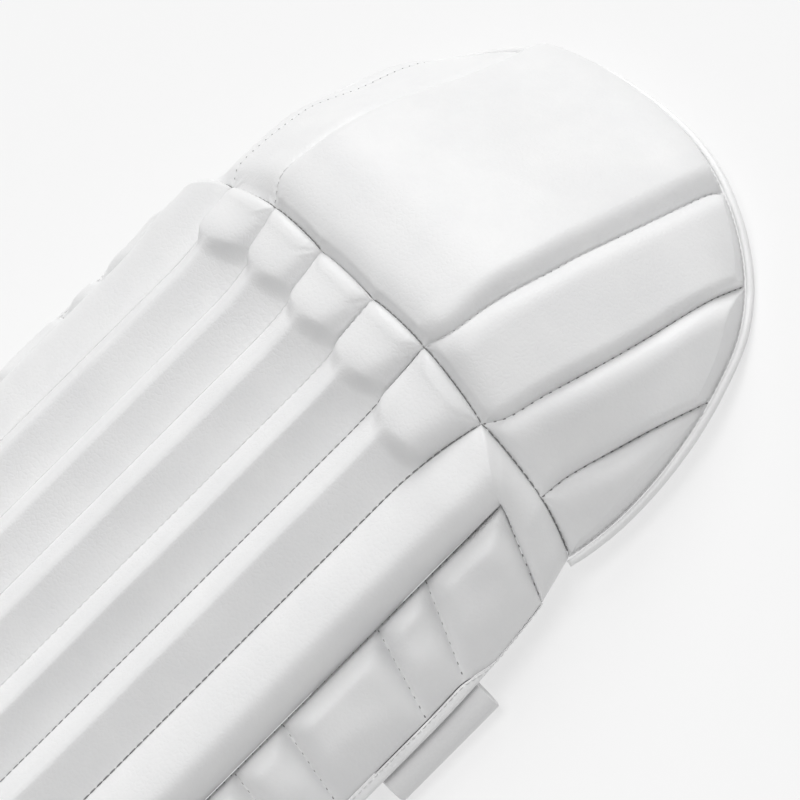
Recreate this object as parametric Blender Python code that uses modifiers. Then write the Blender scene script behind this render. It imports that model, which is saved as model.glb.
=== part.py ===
"""One wicket keeping leg guard, lying on its back with the padded front up.

Metres, +Z up. +Y runs up the shin to the rounded hat over the knee, and +X is the right hand side of
someone who looks at the front. The origin is on the floor, under the middle of the guard.
Every padded piece is a loft between two seam lines. Neighbours share a seam line, its points and its
normals, so their edges meet face to face with one small gap.
"""

import math
from typing import Callable, NamedTuple

import bmesh
import bpy
from mathutils import Vector

# Lengths along the leg
SHIN_LENGTH = 0.440  # knee seam to the ankle end
HAT_BASE = 0.010  # knee seam to where the hat is widest
HAT_ARCH = 0.1495  # from there to the top of the hat
HAT_LENGTH = HAT_BASE + HAT_ARCH
KNEE_Y = (SHIN_LENGTH - HAT_LENGTH) / 2

# Sizes across the leg
HALF_WIDTH = 0.154  # centre line to the wing's outer edge, at mid shin
HAT_HALF_WIDTH = 0.146
FRONT_HEIGHT = 0.069  # floor to the front seams of the shin
WRAP_DEPTH = 0.0485  # front seams down to the wing's outer edge, at mid shin
ANKLE_WRAP = 0.018  # how much deeper the wings hang at the ankle
ANKLE_TAPER = 0.009  # how much narrower the guard is there
ANKLE_START = 0.20  # distance below the knee seam where that begins
KNEE_RISE = 0.0092  # the knee seam stands this much above the shin's front seams
KNEE_DEPTH = 0.0607  # middle of the knee seam down to its ends
KNEE_SWEEP = 0.019  # the knee seam's ends lie this much further down the leg
KNEE_BLEND = 0.050  # the roll seams turn up to the knee seam over this length
EDGE_BLEND = 0.095  # and the wing's edge over this one
HAT_DROP = 0.0762  # middle of the knee seam down to the lowest part of the hat's rim
INSTEP_ARCH = 0.034  # height of the arch cut out over the foot

# Padding
GAP = 0.0004  # between neighbouring pieces
COVER = 0.0025  # thickness of a padded piece along its seams
ROLL_CROWN = 0.009  # how far a shin roll stands above its seams
ROLL_BACK = 0.005  # and how far it swells behind them
STUB_CROWN = 0.0145  # the raised knob at the top of each shin roll
STUB_RISE = 0.019  # length over which the knob rises from the knee seam
STUB_LENGTH = 0.030
STUB_FADE = 0.011  # length over which the knob runs out into the roll
SIDE_CROWN = 0.0165
ARM_CROWN = 0.0085  # the side roll's arm across the top of the wing
HAT_CROWN = 0.0085
HAT_BACK = 0.004
WING_CROWN = 0.0075
WING_BACK = 0.003
SHOULDER = 0.012  # length over which a padded piece rounds down to a cross seam
BAR_SHOULDER = 0.009
CROWN_LIMIT = 1 / 3  # a hat panel's crown stays under this share of its width
KNEE_LEAN = 0.05  # how much the padding leans up the leg along the knee seam

# Wing cells
CORNER_DROP = 0.023  # knee seam to the inner corner under the side roll's arm
LONG_CELL = 0.055
SHORT_CELL = 0.028
FIRST_CELL = 0.044
CELL_SLANT = 0.018  # the upper cell seams fall this much towards the outer edge

# Trim
PIPING_DIAMETER = 0.004
BINDING_WIDTH = 0.005
ROLL_LENGTH = SHIN_LENGTH - PIPING_DIAMETER - 2 * GAP  # knee seam to the piping along the ankle end
STRAP_THICKNESS = 0.0025
CALF_STRAP_WIDTH = 0.056
ANKLE_STRAP_WIDTH = 0.036
CALF_STRAP_DROP = 0.110  # knee seam to the middle of the strap
ANKLE_STRAP_DROP = 0.375
STRAP_BULGE = 0.0065  # how far a strap stands out beyond the wing's edge
STRAP_ROUNDING = 0.0015  # how much less it stands out a quarter of the way from its bulge
STRAP_TURN = 0.006  # how far its turn on to the floor lies inside the bulge
CALF_STRAP_START = 0.62  # share of the wing's width where the strap is sewn to its back
ANKLE_STRAP_START = 0.45
ANKLE_STRAP_END = 0.10  # where the ankle strap leaves the wing's back
ANKLE_STRAP_FLOOR = 0.6  # half length of its stretch on the floor, as a share of its half width there

WHITE_LEATHER = (0.86, 0.86, 0.86, 1.0)
WHITE_PIPING = (0.88, 0.88, 0.88, 1.0)
WHITE_WEBBING = (0.80, 0.80, 0.80, 1.0)
ROUGHNESS = 0.45


class Seam(NamedTuple):
    """A point of a seam line, with the direction that the padding swells in."""

    point: Vector
    normal: Vector


class ShinLine(NamedTuple):
    """A seam down the shin, as shares of the named sizes."""

    reach: float  # of HALF_WIDTH
    depth: float  # of WRAP_DEPTH
    knee_reach: float  # of the knee seam's half width
    knee_depth: float  # of KNEE_DEPTH
    sweep: float  # of KNEE_SWEEP
    instep: float  # of INSTEP_ARCH


class HatRow(NamedTuple):
    """A point of a seam up the hat, as shares of the named sizes."""

    up: float  # of the seam's length along the leg
    reach: float  # of HAT_HALF_WIDTH
    drop: float  # of HAT_DROP


class RimRow(NamedTuple):
    """Depth of the hat's rim at an angle, from the side to the top."""

    angle_deg: float
    drop: float  # of HAT_DROP


SHIN_LINES = {
    "middle": ShinLine(0.114, 0.000, 0.137, 0.000, 0.00, 1.00),
    "front": ShinLine(0.331, 0.065, 0.399, 0.000, 0.00, 0.80),
    "side": ShinLine(0.553, 0.115, 0.673, 0.226, 0.32, 0.32),
    "wing": ShinLine(0.737, 0.540, 0.850, 0.470, 1.21, 0.00),
    "edge": ShinLine(1.000, 1.000, 1.030, 1.000, 1.00, 0.00),
}
LINE_ORDER = ("middle", "front", "side", "wing", "edge")
OUTER_KNEE = (0.902, 0.580, 0.541)  # the middle and outer hat panels' seam: reach, depth, sweep

HAT_LINES = {
    "front": (
        HatRow(0.09, 0.429, -0.045),
        HatRow(0.20, 0.435, 0.000),
        HatRow(0.30, 0.440, 0.066),
        HatRow(0.40, 0.445, 0.154),
        HatRow(0.51, 0.442, 0.266),
        HatRow(0.61, 0.437, 0.389),
        HatRow(0.71, 0.432, 0.514),
        HatRow(0.82, 0.430, 0.642),
        HatRow(0.94, 0.432, 0.771),
    ),
    "side": (
        HatRow(0.07, 0.685, 0.176),
        HatRow(0.19, 0.704, 0.213),
        HatRow(0.31, 0.719, 0.272),
        HatRow(0.44, 0.730, 0.353),
        HatRow(0.61, 0.722, 0.511),
        HatRow(0.85, 0.712, 0.718),
    ),
    "outer": (
        HatRow(0.17, 0.851, 0.521),
        HatRow(0.39, 0.867, 0.588),
        HatRow(0.71, 0.890, 0.708),
    ),
}
RIM_ANGLES_DEG = {"front": 64.5, "side": 46.6, "outer": 23.7}  # where the hat's seams meet its rim
OUTER_END_DEG = 22.0
RIM_ROWS = (
    RimRow(-12.0, 0.822),
    RimRow(0.0, 0.853),
    RimRow(14.0, 0.857),
    RimRow(26.0, 0.880),
    RimRow(37.0, 0.955),
    RimRow(47.0, 0.970),
    RimRow(64.0, 0.890),
    RimRow(90.0, 0.920),
)
RIM_SQUARENESS = 2.16  # 2 is an ellipse, and more is squarer
RIM_TILT_SIDE = 1.0
RIM_TILT_TOP = 0.6


class ArmStep(NamedTuple):
    """A section of the side roll's arm: its two ends, each as a share along its own edge."""

    knee: float  # along the knee seam from the side roll's front; 1 is the outer panels' seam, 2 the end
    lower: float  # along the seam above the first wing cell


ARM_STEPS = (
    ArmStep(1 / 3, 0.06),
    ArmStep(2 / 3, 0.18),
    ArmStep(1.0, 0.36),
    ArmStep(4 / 3, 0.58),
    ArmStep(5 / 3, 0.80),
    ArmStep(1.92, 0.955),
)
ARM_TURN = (2, 3)  # the roll gets lower from this many sections before its arm, over this many
RIDGE_PLACE = 0.42  # share of a shin roll's width from its left seam
STUB_SHARES = (0.97, 0.90, 0.92, 1.00, 1.13)  # of STUB_LENGTH, from the left roll to the right one
SLANT_SHARES = (0.94, 1.0, 0.67, 0.40, 0.25, 0.12)  # of CELL_SLANT, from the top cell seam down

# How full a padded section is: 2 is half an ellipse, and more is flatter on top with steeper sides
ROUND = 2.0
FULL_ROUND = 2.1
FIRM = 2.5
FLAT_TOPPED = 4.0

# Loft stations: near the knee as lengths, the rest as shares
KNEE_STATIONS = (0.0, 0.0025, 0.006, 0.012, 0.019, 0.026, 0.033, 0.042)
ANKLE_SHARES = (0.15, 0.40, 0.65, 0.85, 0.97, 1.0)
HAT_STATIONS = (0.0, 0.02, 0.06, 0.14, 0.26, 0.40, 0.54, 0.68, 0.81, 0.92, 0.98, 1.0)
CELL_SHARES = (0.0, 0.12, 0.5, 0.88)
ACROSS = (0.0, 0.07, 0.25, 0.5, 0.75, 0.93, 1.0)
ROLL_ACROSS = (0.0, 0.08, 0.22, RIDGE_PLACE, 0.60, 0.80, 0.94, 1.0)
SIDE_ACROSS = (0.0, 0.04, 0.15, 0.32, 0.5, 0.68, 0.85, 0.96, 1.0)
CENTRE_ACROSS = (0.0, 0.025, 0.08, 0.2, 0.35, 0.5, 0.65, 0.8, 0.92, 0.975, 1.0)
PIPING_STEPS = 48
BINDING_STEPS = 16
PIPING_FACETS = 2
SEAM_STEP = 0.004  # length over which the direction of a shin seam is measured
HAT_STEP = 0.03  # the same for a hat seam, as a share of it
TURN_START = KNEE_BLEND / 3  # the side roll turns out from this far below the top of the wing seam
CREASE_DEG = 50.0
BINDING_CROWDING = 1.3  # above 1, the binding's sections stand closer near the knee


def world(x: float, along: float, above: float) -> Vector:
    """Turns a place measured from the knee seam and the shin's front seams into the part's frame."""
    return Vector((x, KNEE_Y + along, FRONT_HEIGHT + above))


def smooth(share: float) -> float:
    """Eases a share from 0 to 1."""
    share = min(max(share, 0.0), 1.0)
    return share * share * (3 - 2 * share)


def curve_through(rows: list[tuple[float, Vector]], at: float) -> Vector:
    """Reads a smooth curve through rows of (share, point)."""
    last = len(rows) - 1
    i = 0
    while i < last - 1 and rows[i + 1][0] < at:
        i += 1
    (a, p), (b, q) = rows[i], rows[i + 1]
    before = rows[i - 1] if i else None
    after = rows[i + 2] if i + 2 <= last else None
    slope_p = (q - before[1]) / (b - before[0]) if before else (q - p) / (b - a)
    slope_q = (after[1] - p) / (after[0] - a) if after else (q - p) / (b - a)
    t = (at - a) / (b - a)
    h = b - a
    return (
        p * (2 * t**3 - 3 * t**2 + 1)
        + slope_p * h * (t**3 - 2 * t**2 + t)
        + q * (3 * t**2 - 2 * t**3)
        + slope_q * h * (t**3 - t**2)
    )


def rim_reach(x: float, y: float) -> float:
    """How far out a place lies, with the rim at 1. The upper half of the rim is squarer than an ellipse."""
    power = RIM_SQUARENESS if y > 0 else 2.0
    return (abs(x) ** power + abs(y) ** power) ** (1 / power)


def rim_point(angle: float, inset: float = PIPING_DIAMETER + GAP) -> Vector:
    """A point of the hat's rim, which is a rounded arch seen from the front."""
    rows = [(math.radians(row.angle_deg), Vector((row.drop, 0, 0))) for row in RIM_ROWS]
    folded = angle if angle <= math.pi / 2 else math.pi - angle
    drop = curve_through(rows, folded).x * HAT_DROP
    reach = rim_reach(math.cos(angle), math.sin(angle))
    x = (HAT_HALF_WIDTH - inset) * math.cos(angle) / reach
    along = HAT_BASE + (HAT_ARCH - inset) * math.sin(angle) / reach
    return world(x, along, KNEE_RISE - drop)


def rim_normal(angle: float) -> Vector:
    """The direction that the hat swells in at its rim."""
    return Vector((RIM_TILT_SIDE * math.cos(angle), RIM_TILT_TOP * math.sin(angle), 1)).normalized()


RIM_END = -math.asin((KNEE_SWEEP + HAT_BASE) / (HAT_ARCH - PIPING_DIAMETER - GAP))
KNEE_HALF_WIDTH = rim_point(RIM_END).x


def knee_point(reach: float, depth: float, sweep: float) -> Vector:
    """A point of the knee seam on the right side."""
    return world(reach * KNEE_HALF_WIDTH, -sweep * KNEE_SWEEP, KNEE_RISE - depth * KNEE_DEPTH)


def shin_point(name: str, below: float) -> Vector:
    """A point of a shin seam on the right side, at a distance below the knee seam."""
    line = SHIN_LINES[name]
    blend = EDGE_BLEND if name == "edge" else KNEE_BLEND
    share = max(0.0, 1 - below / blend) ** 2
    ankle = smooth((below - ANKLE_START) / (SHIN_LENGTH - ANKLE_START))
    knee = knee_point(line.knee_reach, line.knee_depth, line.sweep)
    shin = world(
        line.reach * (HALF_WIDTH - ANKLE_TAPER * ankle),
        -line.sweep * KNEE_SWEEP,
        -line.depth * (WRAP_DEPTH + ANKLE_WRAP * ankle),
    )
    point = shin.lerp(knee, share)
    point.y -= below
    return point


def seam_length(name: str) -> float:
    """The length of a shin seam, from the knee seam to the ankle end."""
    line = SHIN_LINES[name]
    return ROLL_LENGTH - line.sweep * KNEE_SWEEP - line.instep * INSTEP_ARCH


def shin_normal(name: str, below: float) -> Vector:
    """The direction that the padding swells in at a shin seam."""
    i = LINE_ORDER.index(name)
    level = shin_point(name, below).y
    inner = level_point(LINE_ORDER[i - 1], level) if i else shin_point(name, below)
    if not i:
        inner.x = -inner.x
    outer = level_point(LINE_ORDER[min(i + 1, len(LINE_ORDER) - 1)], level)
    along = shin_point(name, max(below - SEAM_STEP, 0)) - shin_point(name, below + SEAM_STEP)
    return (outer - inner).cross(along).normalized()


def level_point(name: str, y: float) -> Vector:
    """The point of a shin seam at a level of the leg."""
    start = shin_point(name, 0.0)
    return shin_point(name, max(start.y - y, 0.0))


def knee_row() -> list[Seam]:
    """The right half of the knee seam: middle, front, side, outer and end."""
    points = [shin_point(name, 0.0) for name in LINE_ORDER[:3]]
    points.append(knee_point(*OUTER_KNEE))
    points.append(rim_point(RIM_END))
    across = [points[1] - points[0]]
    across += [points[i + 1] - points[i - 1] for i in range(1, 4)]
    normals = [(step.cross(Vector((0, 1, -KNEE_LEAN)))).normalized() for step in across]
    normals.append(rim_normal(RIM_END))
    return [Seam(p, n) for p, n in zip(points, normals)]


def hat_point(name: str, share: float) -> Vector:
    """A point of a hat seam on the right side, from the knee seam to the rim."""
    knee = {"front": 1, "side": 2, "outer": 3}[name]
    start = knee_row()[knee].point
    end = rim_point(math.radians(RIM_ANGLES_DEG[name]))
    rows = [(0.0, start)]
    for row in HAT_LINES[name]:
        point = world(row.reach * HAT_HALF_WIDTH, 0, KNEE_RISE - row.drop * HAT_DROP)
        point.y = start.y + row.up * (end.y - start.y)
        rows.append((row.up, point))
    rows.append((1.0, end))
    return curve_through(rows, share)


def rim_side_angle(share: float) -> float:
    """The rim's angle beside the outer hat panel."""
    return RIM_END + share * (math.radians(OUTER_END_DEG) - RIM_END)


def hat_line(name: str) -> list[Seam]:
    """A hat seam on the right side with its normals, at the shared stations."""
    order = ("front", "side", "outer")
    i = order.index(name)
    knee = knee_row()[i + 1]
    seams = []
    for share in HAT_STATIONS:
        point = hat_point(name, share)
        if share == 0:
            normal = knee.normal
        elif share == 1:
            normal = rim_normal(math.radians(RIM_ANGLES_DEG[name]))
        else:
            inner = hat_point(order[i - 1], share) if i else Vector((0, point.y, point.z))
            if name == "outer":
                outer = rim_point(rim_side_angle(share))
            else:
                outer = hat_point(order[i + 1], share)
            along = hat_point(name, min(share + HAT_STEP, 1)) - hat_point(name, max(share - HAT_STEP, 0))
            normal = (outer - inner).cross(along).normalized()
        seams.append(Seam(point, normal))
    return seams


def stations(length: float) -> list[float]:
    """Distances below the knee seam at which every roll has a section."""
    start = KNEE_STATIONS[-1]
    return list(KNEE_STATIONS) + [start + share * (length - start) for share in ANKLE_SHARES]


def shin_line(name: str) -> list[Seam]:
    """A shin seam on the right side with its normals, from the knee seam down."""
    seams = [Seam(shin_point(name, d), shin_normal(name, d)) for d in stations(seam_length(name))]
    if name in LINE_ORDER[:3]:
        seams[0] = knee_row()[LINE_ORDER.index(name)]
    return seams


def mirrored(seams: list[Seam]) -> list[Seam]:
    """The same line on the left side."""
    flip = Vector((-1, 1, 1))
    return [Seam(s.point * flip, s.normal * flip) for s in seams]


def between(a: Seam, b: Seam, share: float) -> Seam:
    """A place between two seams, on the straight line that joins them."""
    return Seam(a.point.lerp(b.point, share), a.normal.lerp(b.normal, share).normalized())


def rows_between(left: list[Seam], right: list[Seam], across: tuple[float, ...]) -> list[list[Seam]]:
    """The net of places between two seam lines, a row for each station."""
    return [[between(a, b, t) for t in across] for a, b in zip(left, right)]


def inset_net(net: list[list[Seam]]) -> list[list[Seam]]:
    """Draws a net's border in by half of the gap to its neighbours."""

    def moved(seam: Seam, towards: Seam) -> Seam:
        step = towards.point - seam.point
        return Seam(seam.point + step.normalized() * (GAP / 2), seam.normal)

    net = [[moved(row[0], row[1]), *row[1:-1], moved(row[-1], row[-2])] for row in net]
    first = [moved(a, b) for a, b in zip(net[0], net[1])]
    last = [moved(a, b) for a, b in zip(net[-1], net[-2])]
    return [first, *net[1:-1], last]


def dome(across: float, fullness: float) -> float:
    """The height of a padded section as a share of its crown; a fuller one has steeper sides."""
    return (1 - abs(2 * across - 1) ** fullness) ** (1 / fullness)


def ridge(across: float) -> float:
    """The height of a shin roll's section as a share of its crown: two flanks that meet in a ridge."""
    left = across / RIDGE_PLACE
    right = (1 - across) / (1 - RIDGE_PLACE)
    return min(left, right, 1.0)


def shoulder(distance: float, length: float = SHOULDER) -> float:
    """The share of its crown that the padding reaches at a distance from a cross seam."""
    share = min(max(distance / length, 0.0), 1.0)
    return math.sqrt(1 - (1 - share) ** 2)


def padded_piece(
    name: str,
    net: list[list[Seam]],
    crown: list[list[float]],
    back: list[list[float]],
    limit: Callable[[Vector], Vector] = Vector,
) -> None:
    """Lofts a closed padded piece over a net.

    crown and back give how far the front and the back stand off the net at each place. The back has
    fewer points across than the front, because it is plain. limit holds the swelling back.
    """
    net = inset_net(net)
    columns = len(net[0])
    behind = (0, columns // 2, columns - 1)
    body = bmesh.new()
    rings = []
    for row, heights, depths in zip(net, crown, back):
        places = [seam.point + seam.normal * height for seam, height in zip(row, heights)]
        for column in reversed(behind):
            places.append(row[column].point - row[column].normal * (COVER + depths[column]))
        rings.append([body.verts.new(on_floor(limit(place))) for place in places])
    for lower, upper in zip(rings, rings[1:]):
        count = len(lower)
        for i in range(count):
            j = (i + 1) % count
            body.faces.new((lower[i], lower[j], upper[j], upper[i]))
    body.faces.new(rings[0])
    body.faces.new(rings[-1][::-1])
    bmesh.ops.triangulate(body, faces=body.faces[:])
    bmesh.ops.recalc_face_normals(body, faces=body.faces[:])
    add_mesh(name, body, "white leather", WHITE_LEATHER)


def inside_rim(point: Vector) -> Vector:
    """Keeps the hat's padding from swelling out over its piping."""
    inset = PIPING_DIAMETER + GAP
    middle = KNEE_Y + HAT_BASE
    x, y = point.x / (HAT_HALF_WIDTH - inset), (point.y - middle) / (HAT_ARCH - inset)
    reach = max(rim_reach(x, y), 1.0)
    return Vector((point.x / reach, middle + (point.y - middle) / reach, point.z))


def on_floor(point: Vector) -> Vector:
    """Flattens the soft cover where it would reach below the floor."""
    return Vector((point.x, point.y, max(point.z, 0.0)))


def add_mesh(name: str, body: bmesh.types.BMesh, finish: str, colour: tuple[float, ...]) -> bpy.types.Object:
    """Makes a named object of a mesh in the guard's collection."""
    mesh = bpy.data.meshes.new(name)
    body.to_mesh(mesh)
    body.free()
    mesh.shade_smooth()
    mesh.set_sharp_from_angle(angle=math.radians(CREASE_DEG))
    piece = bpy.data.objects.new(name, mesh)
    mesh.materials.append(material(finish + " " + name, colour))
    bpy.data.collections["leg_guard"].objects.link(piece)
    return piece


def material(name: str, colour: tuple[float, ...]) -> bpy.types.Material:
    """A plain finish."""
    made = bpy.data.materials.new(name)
    made.use_nodes = True
    shader = made.node_tree.nodes["Principled BSDF"]
    shader.inputs["Base Color"].default_value = colour
    shader.inputs["Roughness"].default_value = ROUGHNESS
    shader.inputs["Metallic"].default_value = 0.0
    return made


def roll_heights(left: list[Seam], right: list[Seam], stub: float) -> tuple[list, list]:
    """Crown and back of a shin roll, whose top is a raised knob that runs out into the roll."""
    crown, back = [], []
    end_left, end_right = left[-1].point.y, right[-1].point.y
    for a, b in zip(left, right):
        below = ((left[0].point - a.point).length + (right[0].point - b.point).length) / 2
        above = (a.point.y - end_left + b.point.y - end_right) / 2
        knob = 1 - smooth((below - stub + STUB_FADE / 2) / STUB_FADE)
        roll = ROLL_CROWN * (1 - knob) * shoulder(above)
        egg = STUB_CROWN * knob * shoulder(below, STUB_RISE)
        ends = shoulder(below) * shoulder(above)
        crown.append([roll * ridge(t) + egg * dome(t, ROUND) for t in ROLL_ACROSS])
        back.append([ROLL_BACK * ends * dome(t, ROUND) for t in ROLL_ACROSS])
    return crown, back


def shin_rolls() -> None:
    """The five straight rolls down the front of the shin."""
    lines = [shin_line(name) for name in ("side", "front", "middle")]
    left = [mirrored(line) for line in lines]
    right = lines[::-1]
    seams = left + right
    for number, share in enumerate(STUB_SHARES):
        a, b = seams[number], seams[number + 1]
        crown, back = roll_heights(a, b, share * STUB_LENGTH)
        padded_piece(f"shin_roll_{number + 1}", rows_between(a, b, ROLL_ACROSS), crown, back)


def cell_levels() -> list[tuple[float, float]]:
    """The wing's cross seams, each as its distance down the wing seam and down the outer edge."""
    levels = []
    down = CORNER_DROP
    end = ROLL_LENGTH
    cells = [FIRST_CELL]
    while down + sum(cells) < end - SHORT_CELL:
        cells.append(SHORT_CELL if len(cells) % 2 else LONG_CELL)
    cells[-1] += end - down - sum(cells)
    for number in range(len(cells) + 1):
        slant = CELL_SLANT * (SLANT_SHARES[number] if number < len(SLANT_SHARES) else 0.0)
        levels.append((down, down + slant))
        down += cells[number] if number < len(cells) else 0.0
    return levels


def wing_edge(level: float, inset: float) -> Seam:
    """A place on the wing's outer edge, drawn in towards the wing seam."""
    edge = level_point("edge", KNEE_Y - level)
    inner = level_point("wing", KNEE_Y - level)
    below = shin_point("edge", 0.0).y - (KNEE_Y - level)
    step = (inner - edge).normalized() * inset
    return Seam(edge + step, shin_normal("edge", max(below, 0.0)))


def wing_seam(level: float) -> Seam:
    """A place on the seam between the side roll and the wing."""
    below = max(shin_point("wing", 0.0).y - (KNEE_Y - level), 0.0)
    return Seam(shin_point("wing", below), shin_normal("wing", below))


def wing_row(level: tuple[float, float]) -> list[Seam]:
    """A row of the wing's net, from the wing seam to the binding."""
    a, b = wing_seam(level[0]), wing_edge(level[1], BINDING_WIDTH)
    return [between(a, b, t) for t in ACROSS]


def side_roll() -> tuple[list[Seam], list[Seam]]:
    """The two edges of the right side roll, which turns out along the knee seam at its top."""
    row = knee_row()
    inner, outer = [], []
    side, wing = shin_line("side"), shin_point("wing", 0.0)
    straight = [s for s in side[::-1] if s.point.y < wing.y - TURN_START]
    top_y = straight[-1].point.y
    end_y = KNEE_Y - ROLL_LENGTH
    for seam in straight:
        outer.append(seam)
        share = (seam.point.y - straight[0].point.y) / (top_y - straight[0].point.y)
        inner.append(wing_seam(KNEE_Y - (end_y + share * (top_y - end_y))))
    turn = [s for s in side[::-1] if s.point.y > top_y]
    for number, seam in enumerate(turn):
        share = (number + 1) / len(turn)
        outer.append(seam)
        level = KNEE_Y - top_y + share * (CORNER_DROP - (KNEE_Y - top_y))
        inner.append(wing_seam(level))
    corner = (CORNER_DROP, cell_levels()[0][1])
    a, b = wing_seam(corner[0]), wing_edge(corner[1], BINDING_WIDTH)
    for step in ARM_STEPS:
        first = 2 if step.knee <= 1 else 3
        outer.append(between(row[first], row[first + 1], step.knee - (first - 2)))
        inner.append(between(a, b, step.lower))
    return outer, inner


def side_rolls_and_wings() -> None:
    """The fat roll on each side with its arm, and the quilted wing behind it."""
    outer, inner = side_roll()
    arm_start = len(outer) - len(ARM_STEPS)
    crown, back = [], []
    for number, (a, b) in enumerate(zip(outer, inner)):
        turned = smooth((number - arm_start + ARM_TURN[0]) / ARM_TURN[1])
        height = SIDE_CROWN + (ARM_CROWN - SIDE_CROWN) * turned
        ends = shoulder((a.point - outer[0].point).length) * shoulder((b.point - inner[-1].point).length)
        crown.append([height * ends * dome(t, FULL_ROUND) for t in SIDE_ACROSS])
        back.append([ROLL_BACK * ends * dome(t, ROUND) for t in SIDE_ACROSS])
    levels = cell_levels()
    rows, wing_crown, wing_back = [], [], []
    for number, (upper, lower) in enumerate(zip(levels, levels[1:])):
        height = lower[0] - upper[0]
        last = number == len(levels) - 2
        for share in CELL_SHARES + ((1.0,) if last else ()):
            level = tuple(a + share * (b - a) for a, b in zip(upper, lower))
            rows.append(wing_row(level))
            ends = shoulder(share * height, BAR_SHOULDER) * shoulder((1 - share) * height, BAR_SHOULDER)
            wing_crown.append([WING_CROWN * ends * dome(t, FIRM) for t in ACROSS])
            wing_back.append([WING_BACK * ends * dome(t, ROUND) for t in ACROSS])
    for side in ("right", "left"):
        flip = mirrored if side == "left" else list
        padded_piece(f"side_roll_{side}", rows_between(flip(outer), flip(inner), SIDE_ACROSS), crown, back)
        padded_piece(f"wing_{side}", [flip(row) for row in rows], wing_crown, wing_back)


def hat_net(a: list[Seam], b: list[Seam], angles: tuple[float, float], across: tuple[float, ...]) -> list:
    """A hat panel's net, whose last row follows the rim between two angles."""
    net = rows_between(a, b, across)
    chord = net[-1]
    arch = []
    for t in across:
        angle = angles[0] + t * (angles[1] - angles[0])
        arch.append(Seam(rim_point(angle), rim_normal(angle)))
    bent = []
    for share, row in zip(HAT_STATIONS, net):
        weight = share * share
        line = []
        for seam, straight, curved in zip(row, chord, arch):
            normal = seam.normal if share < 1 else curved.normal
            line.append(Seam(seam.point + (curved.point - straight.point) * weight, normal))
        bent.append(line)
    return bent


def hat_panel(name: str, net: list[list[Seam]], across: tuple[float, ...], crown: float, fullness: float) -> None:
    """A padded panel of the hat."""
    heights, depths = [], []
    for row in net:
        start = sum((a.point - b.point).length for a, b in zip(row, net[0])) / len(row)
        end = sum((a.point - b.point).length for a, b in zip(row, net[-1])) / len(row)
        ends = shoulder(start) * shoulder(end)
        width = sum((a.point - b.point).length for a, b in zip(row, row[1:]))
        height = min(crown, CROWN_LIMIT * width) * ends
        heights.append([height * dome(t, fullness) for t in across])
        depths.append([HAT_BACK * height / crown * dome(t, ROUND) for t in across])
    padded_piece(name, net, heights, depths, inside_rim)


def hat() -> None:
    """The rounded hat over the knee: a wide centre panel and three narrower ones on each side."""
    front, side, outer = hat_line("front"), hat_line("side"), hat_line("outer")
    angle = {name: math.radians(value) for name, value in RIM_ANGLES_DEG.items()}
    centre = hat_net(mirrored(front), front, (math.pi - angle["front"], angle["front"]), CENTRE_ACROSS)
    hat_panel("hat_panel_centre", centre, CENTRE_ACROSS, HAT_CROWN, FLAT_TOPPED)
    rim = [rim_side_angle(share) for share in HAT_STATIONS]
    rim_side = [Seam(rim_point(a), rim_normal(a)) for a in rim]
    nets = {
        "inner": hat_net(front, side, (angle["front"], angle["side"]), ACROSS),
        "middle": hat_net(side, outer, (angle["side"], angle["outer"]), ACROSS),
        "outer": rows_between(outer, rim_side, ACROSS),
    }
    for place, net in nets.items():
        hat_panel(f"hat_panel_right_{place}", net, ACROSS, HAT_CROWN, FIRM)
        hat_panel(f"hat_panel_left_{place}", [mirrored(row) for row in net], ACROSS, HAT_CROWN, FIRM)


def tube(name: str, points: list[Vector], diameter: float) -> None:
    """A round cord of piping through points, with closed ends."""
    line = bpy.data.curves.new(name, "CURVE")
    line.dimensions = "3D"
    line.bevel_depth = diameter / 2
    line.bevel_resolution = PIPING_FACETS
    line.use_fill_caps = True
    spline = line.splines.new("POLY")
    spline.points.add(len(points) - 1)
    for knot, point in zip(spline.points, points):
        knot.co = (*point, 1.0)
    line.materials.append(material("white piping " + name, WHITE_PIPING))
    bpy.data.collections["leg_guard"].objects.link(bpy.data.objects.new(name, line))


def hat_piping() -> None:
    """The piping round the hat's rim, from one end of the knee seam to the other."""
    points = []
    for i in range(PIPING_STEPS + 1):
        angle = RIM_END + (math.pi - 2 * RIM_END) * i / PIPING_STEPS
        points.append(rim_point(angle, PIPING_DIAMETER / 2))
    for point in points:
        point.z = max(point.z, PIPING_DIAMETER / 2)
    tube("hat_piping", points, PIPING_DIAMETER)


def instep_piping() -> None:
    """The piping along the arched ankle end of the rolls."""
    right = [shin_point(name, seam_length(name)) for name in LINE_ORDER[:4]]
    row = [Vector((-p.x, p.y, p.z)) for p in right[::-1]] + right
    drop = Vector((0, -PIPING_DIAMETER / 2 - 2 * GAP, -COVER / 2))
    tube("instep_piping", [p + drop for p in row], PIPING_DIAMETER)


def bindings() -> None:
    """The flat bindings on the wings' outer edges."""
    start, end = KNEE_SWEEP + PIPING_DIAMETER / 2, ROLL_LENGTH
    rows = []
    for i in range(BINDING_STEPS + 1):
        level = start + (end - start) * (i / BINDING_STEPS) ** BINDING_CROWDING
        rows.append([wing_edge(level, BINDING_WIDTH), wing_edge(level, 0.0)])
    for side in ("right", "left"):
        flip = mirrored if side == "left" else list
        binding(f"wing_binding_{side}", [flip(row) for row in rows])


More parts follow.
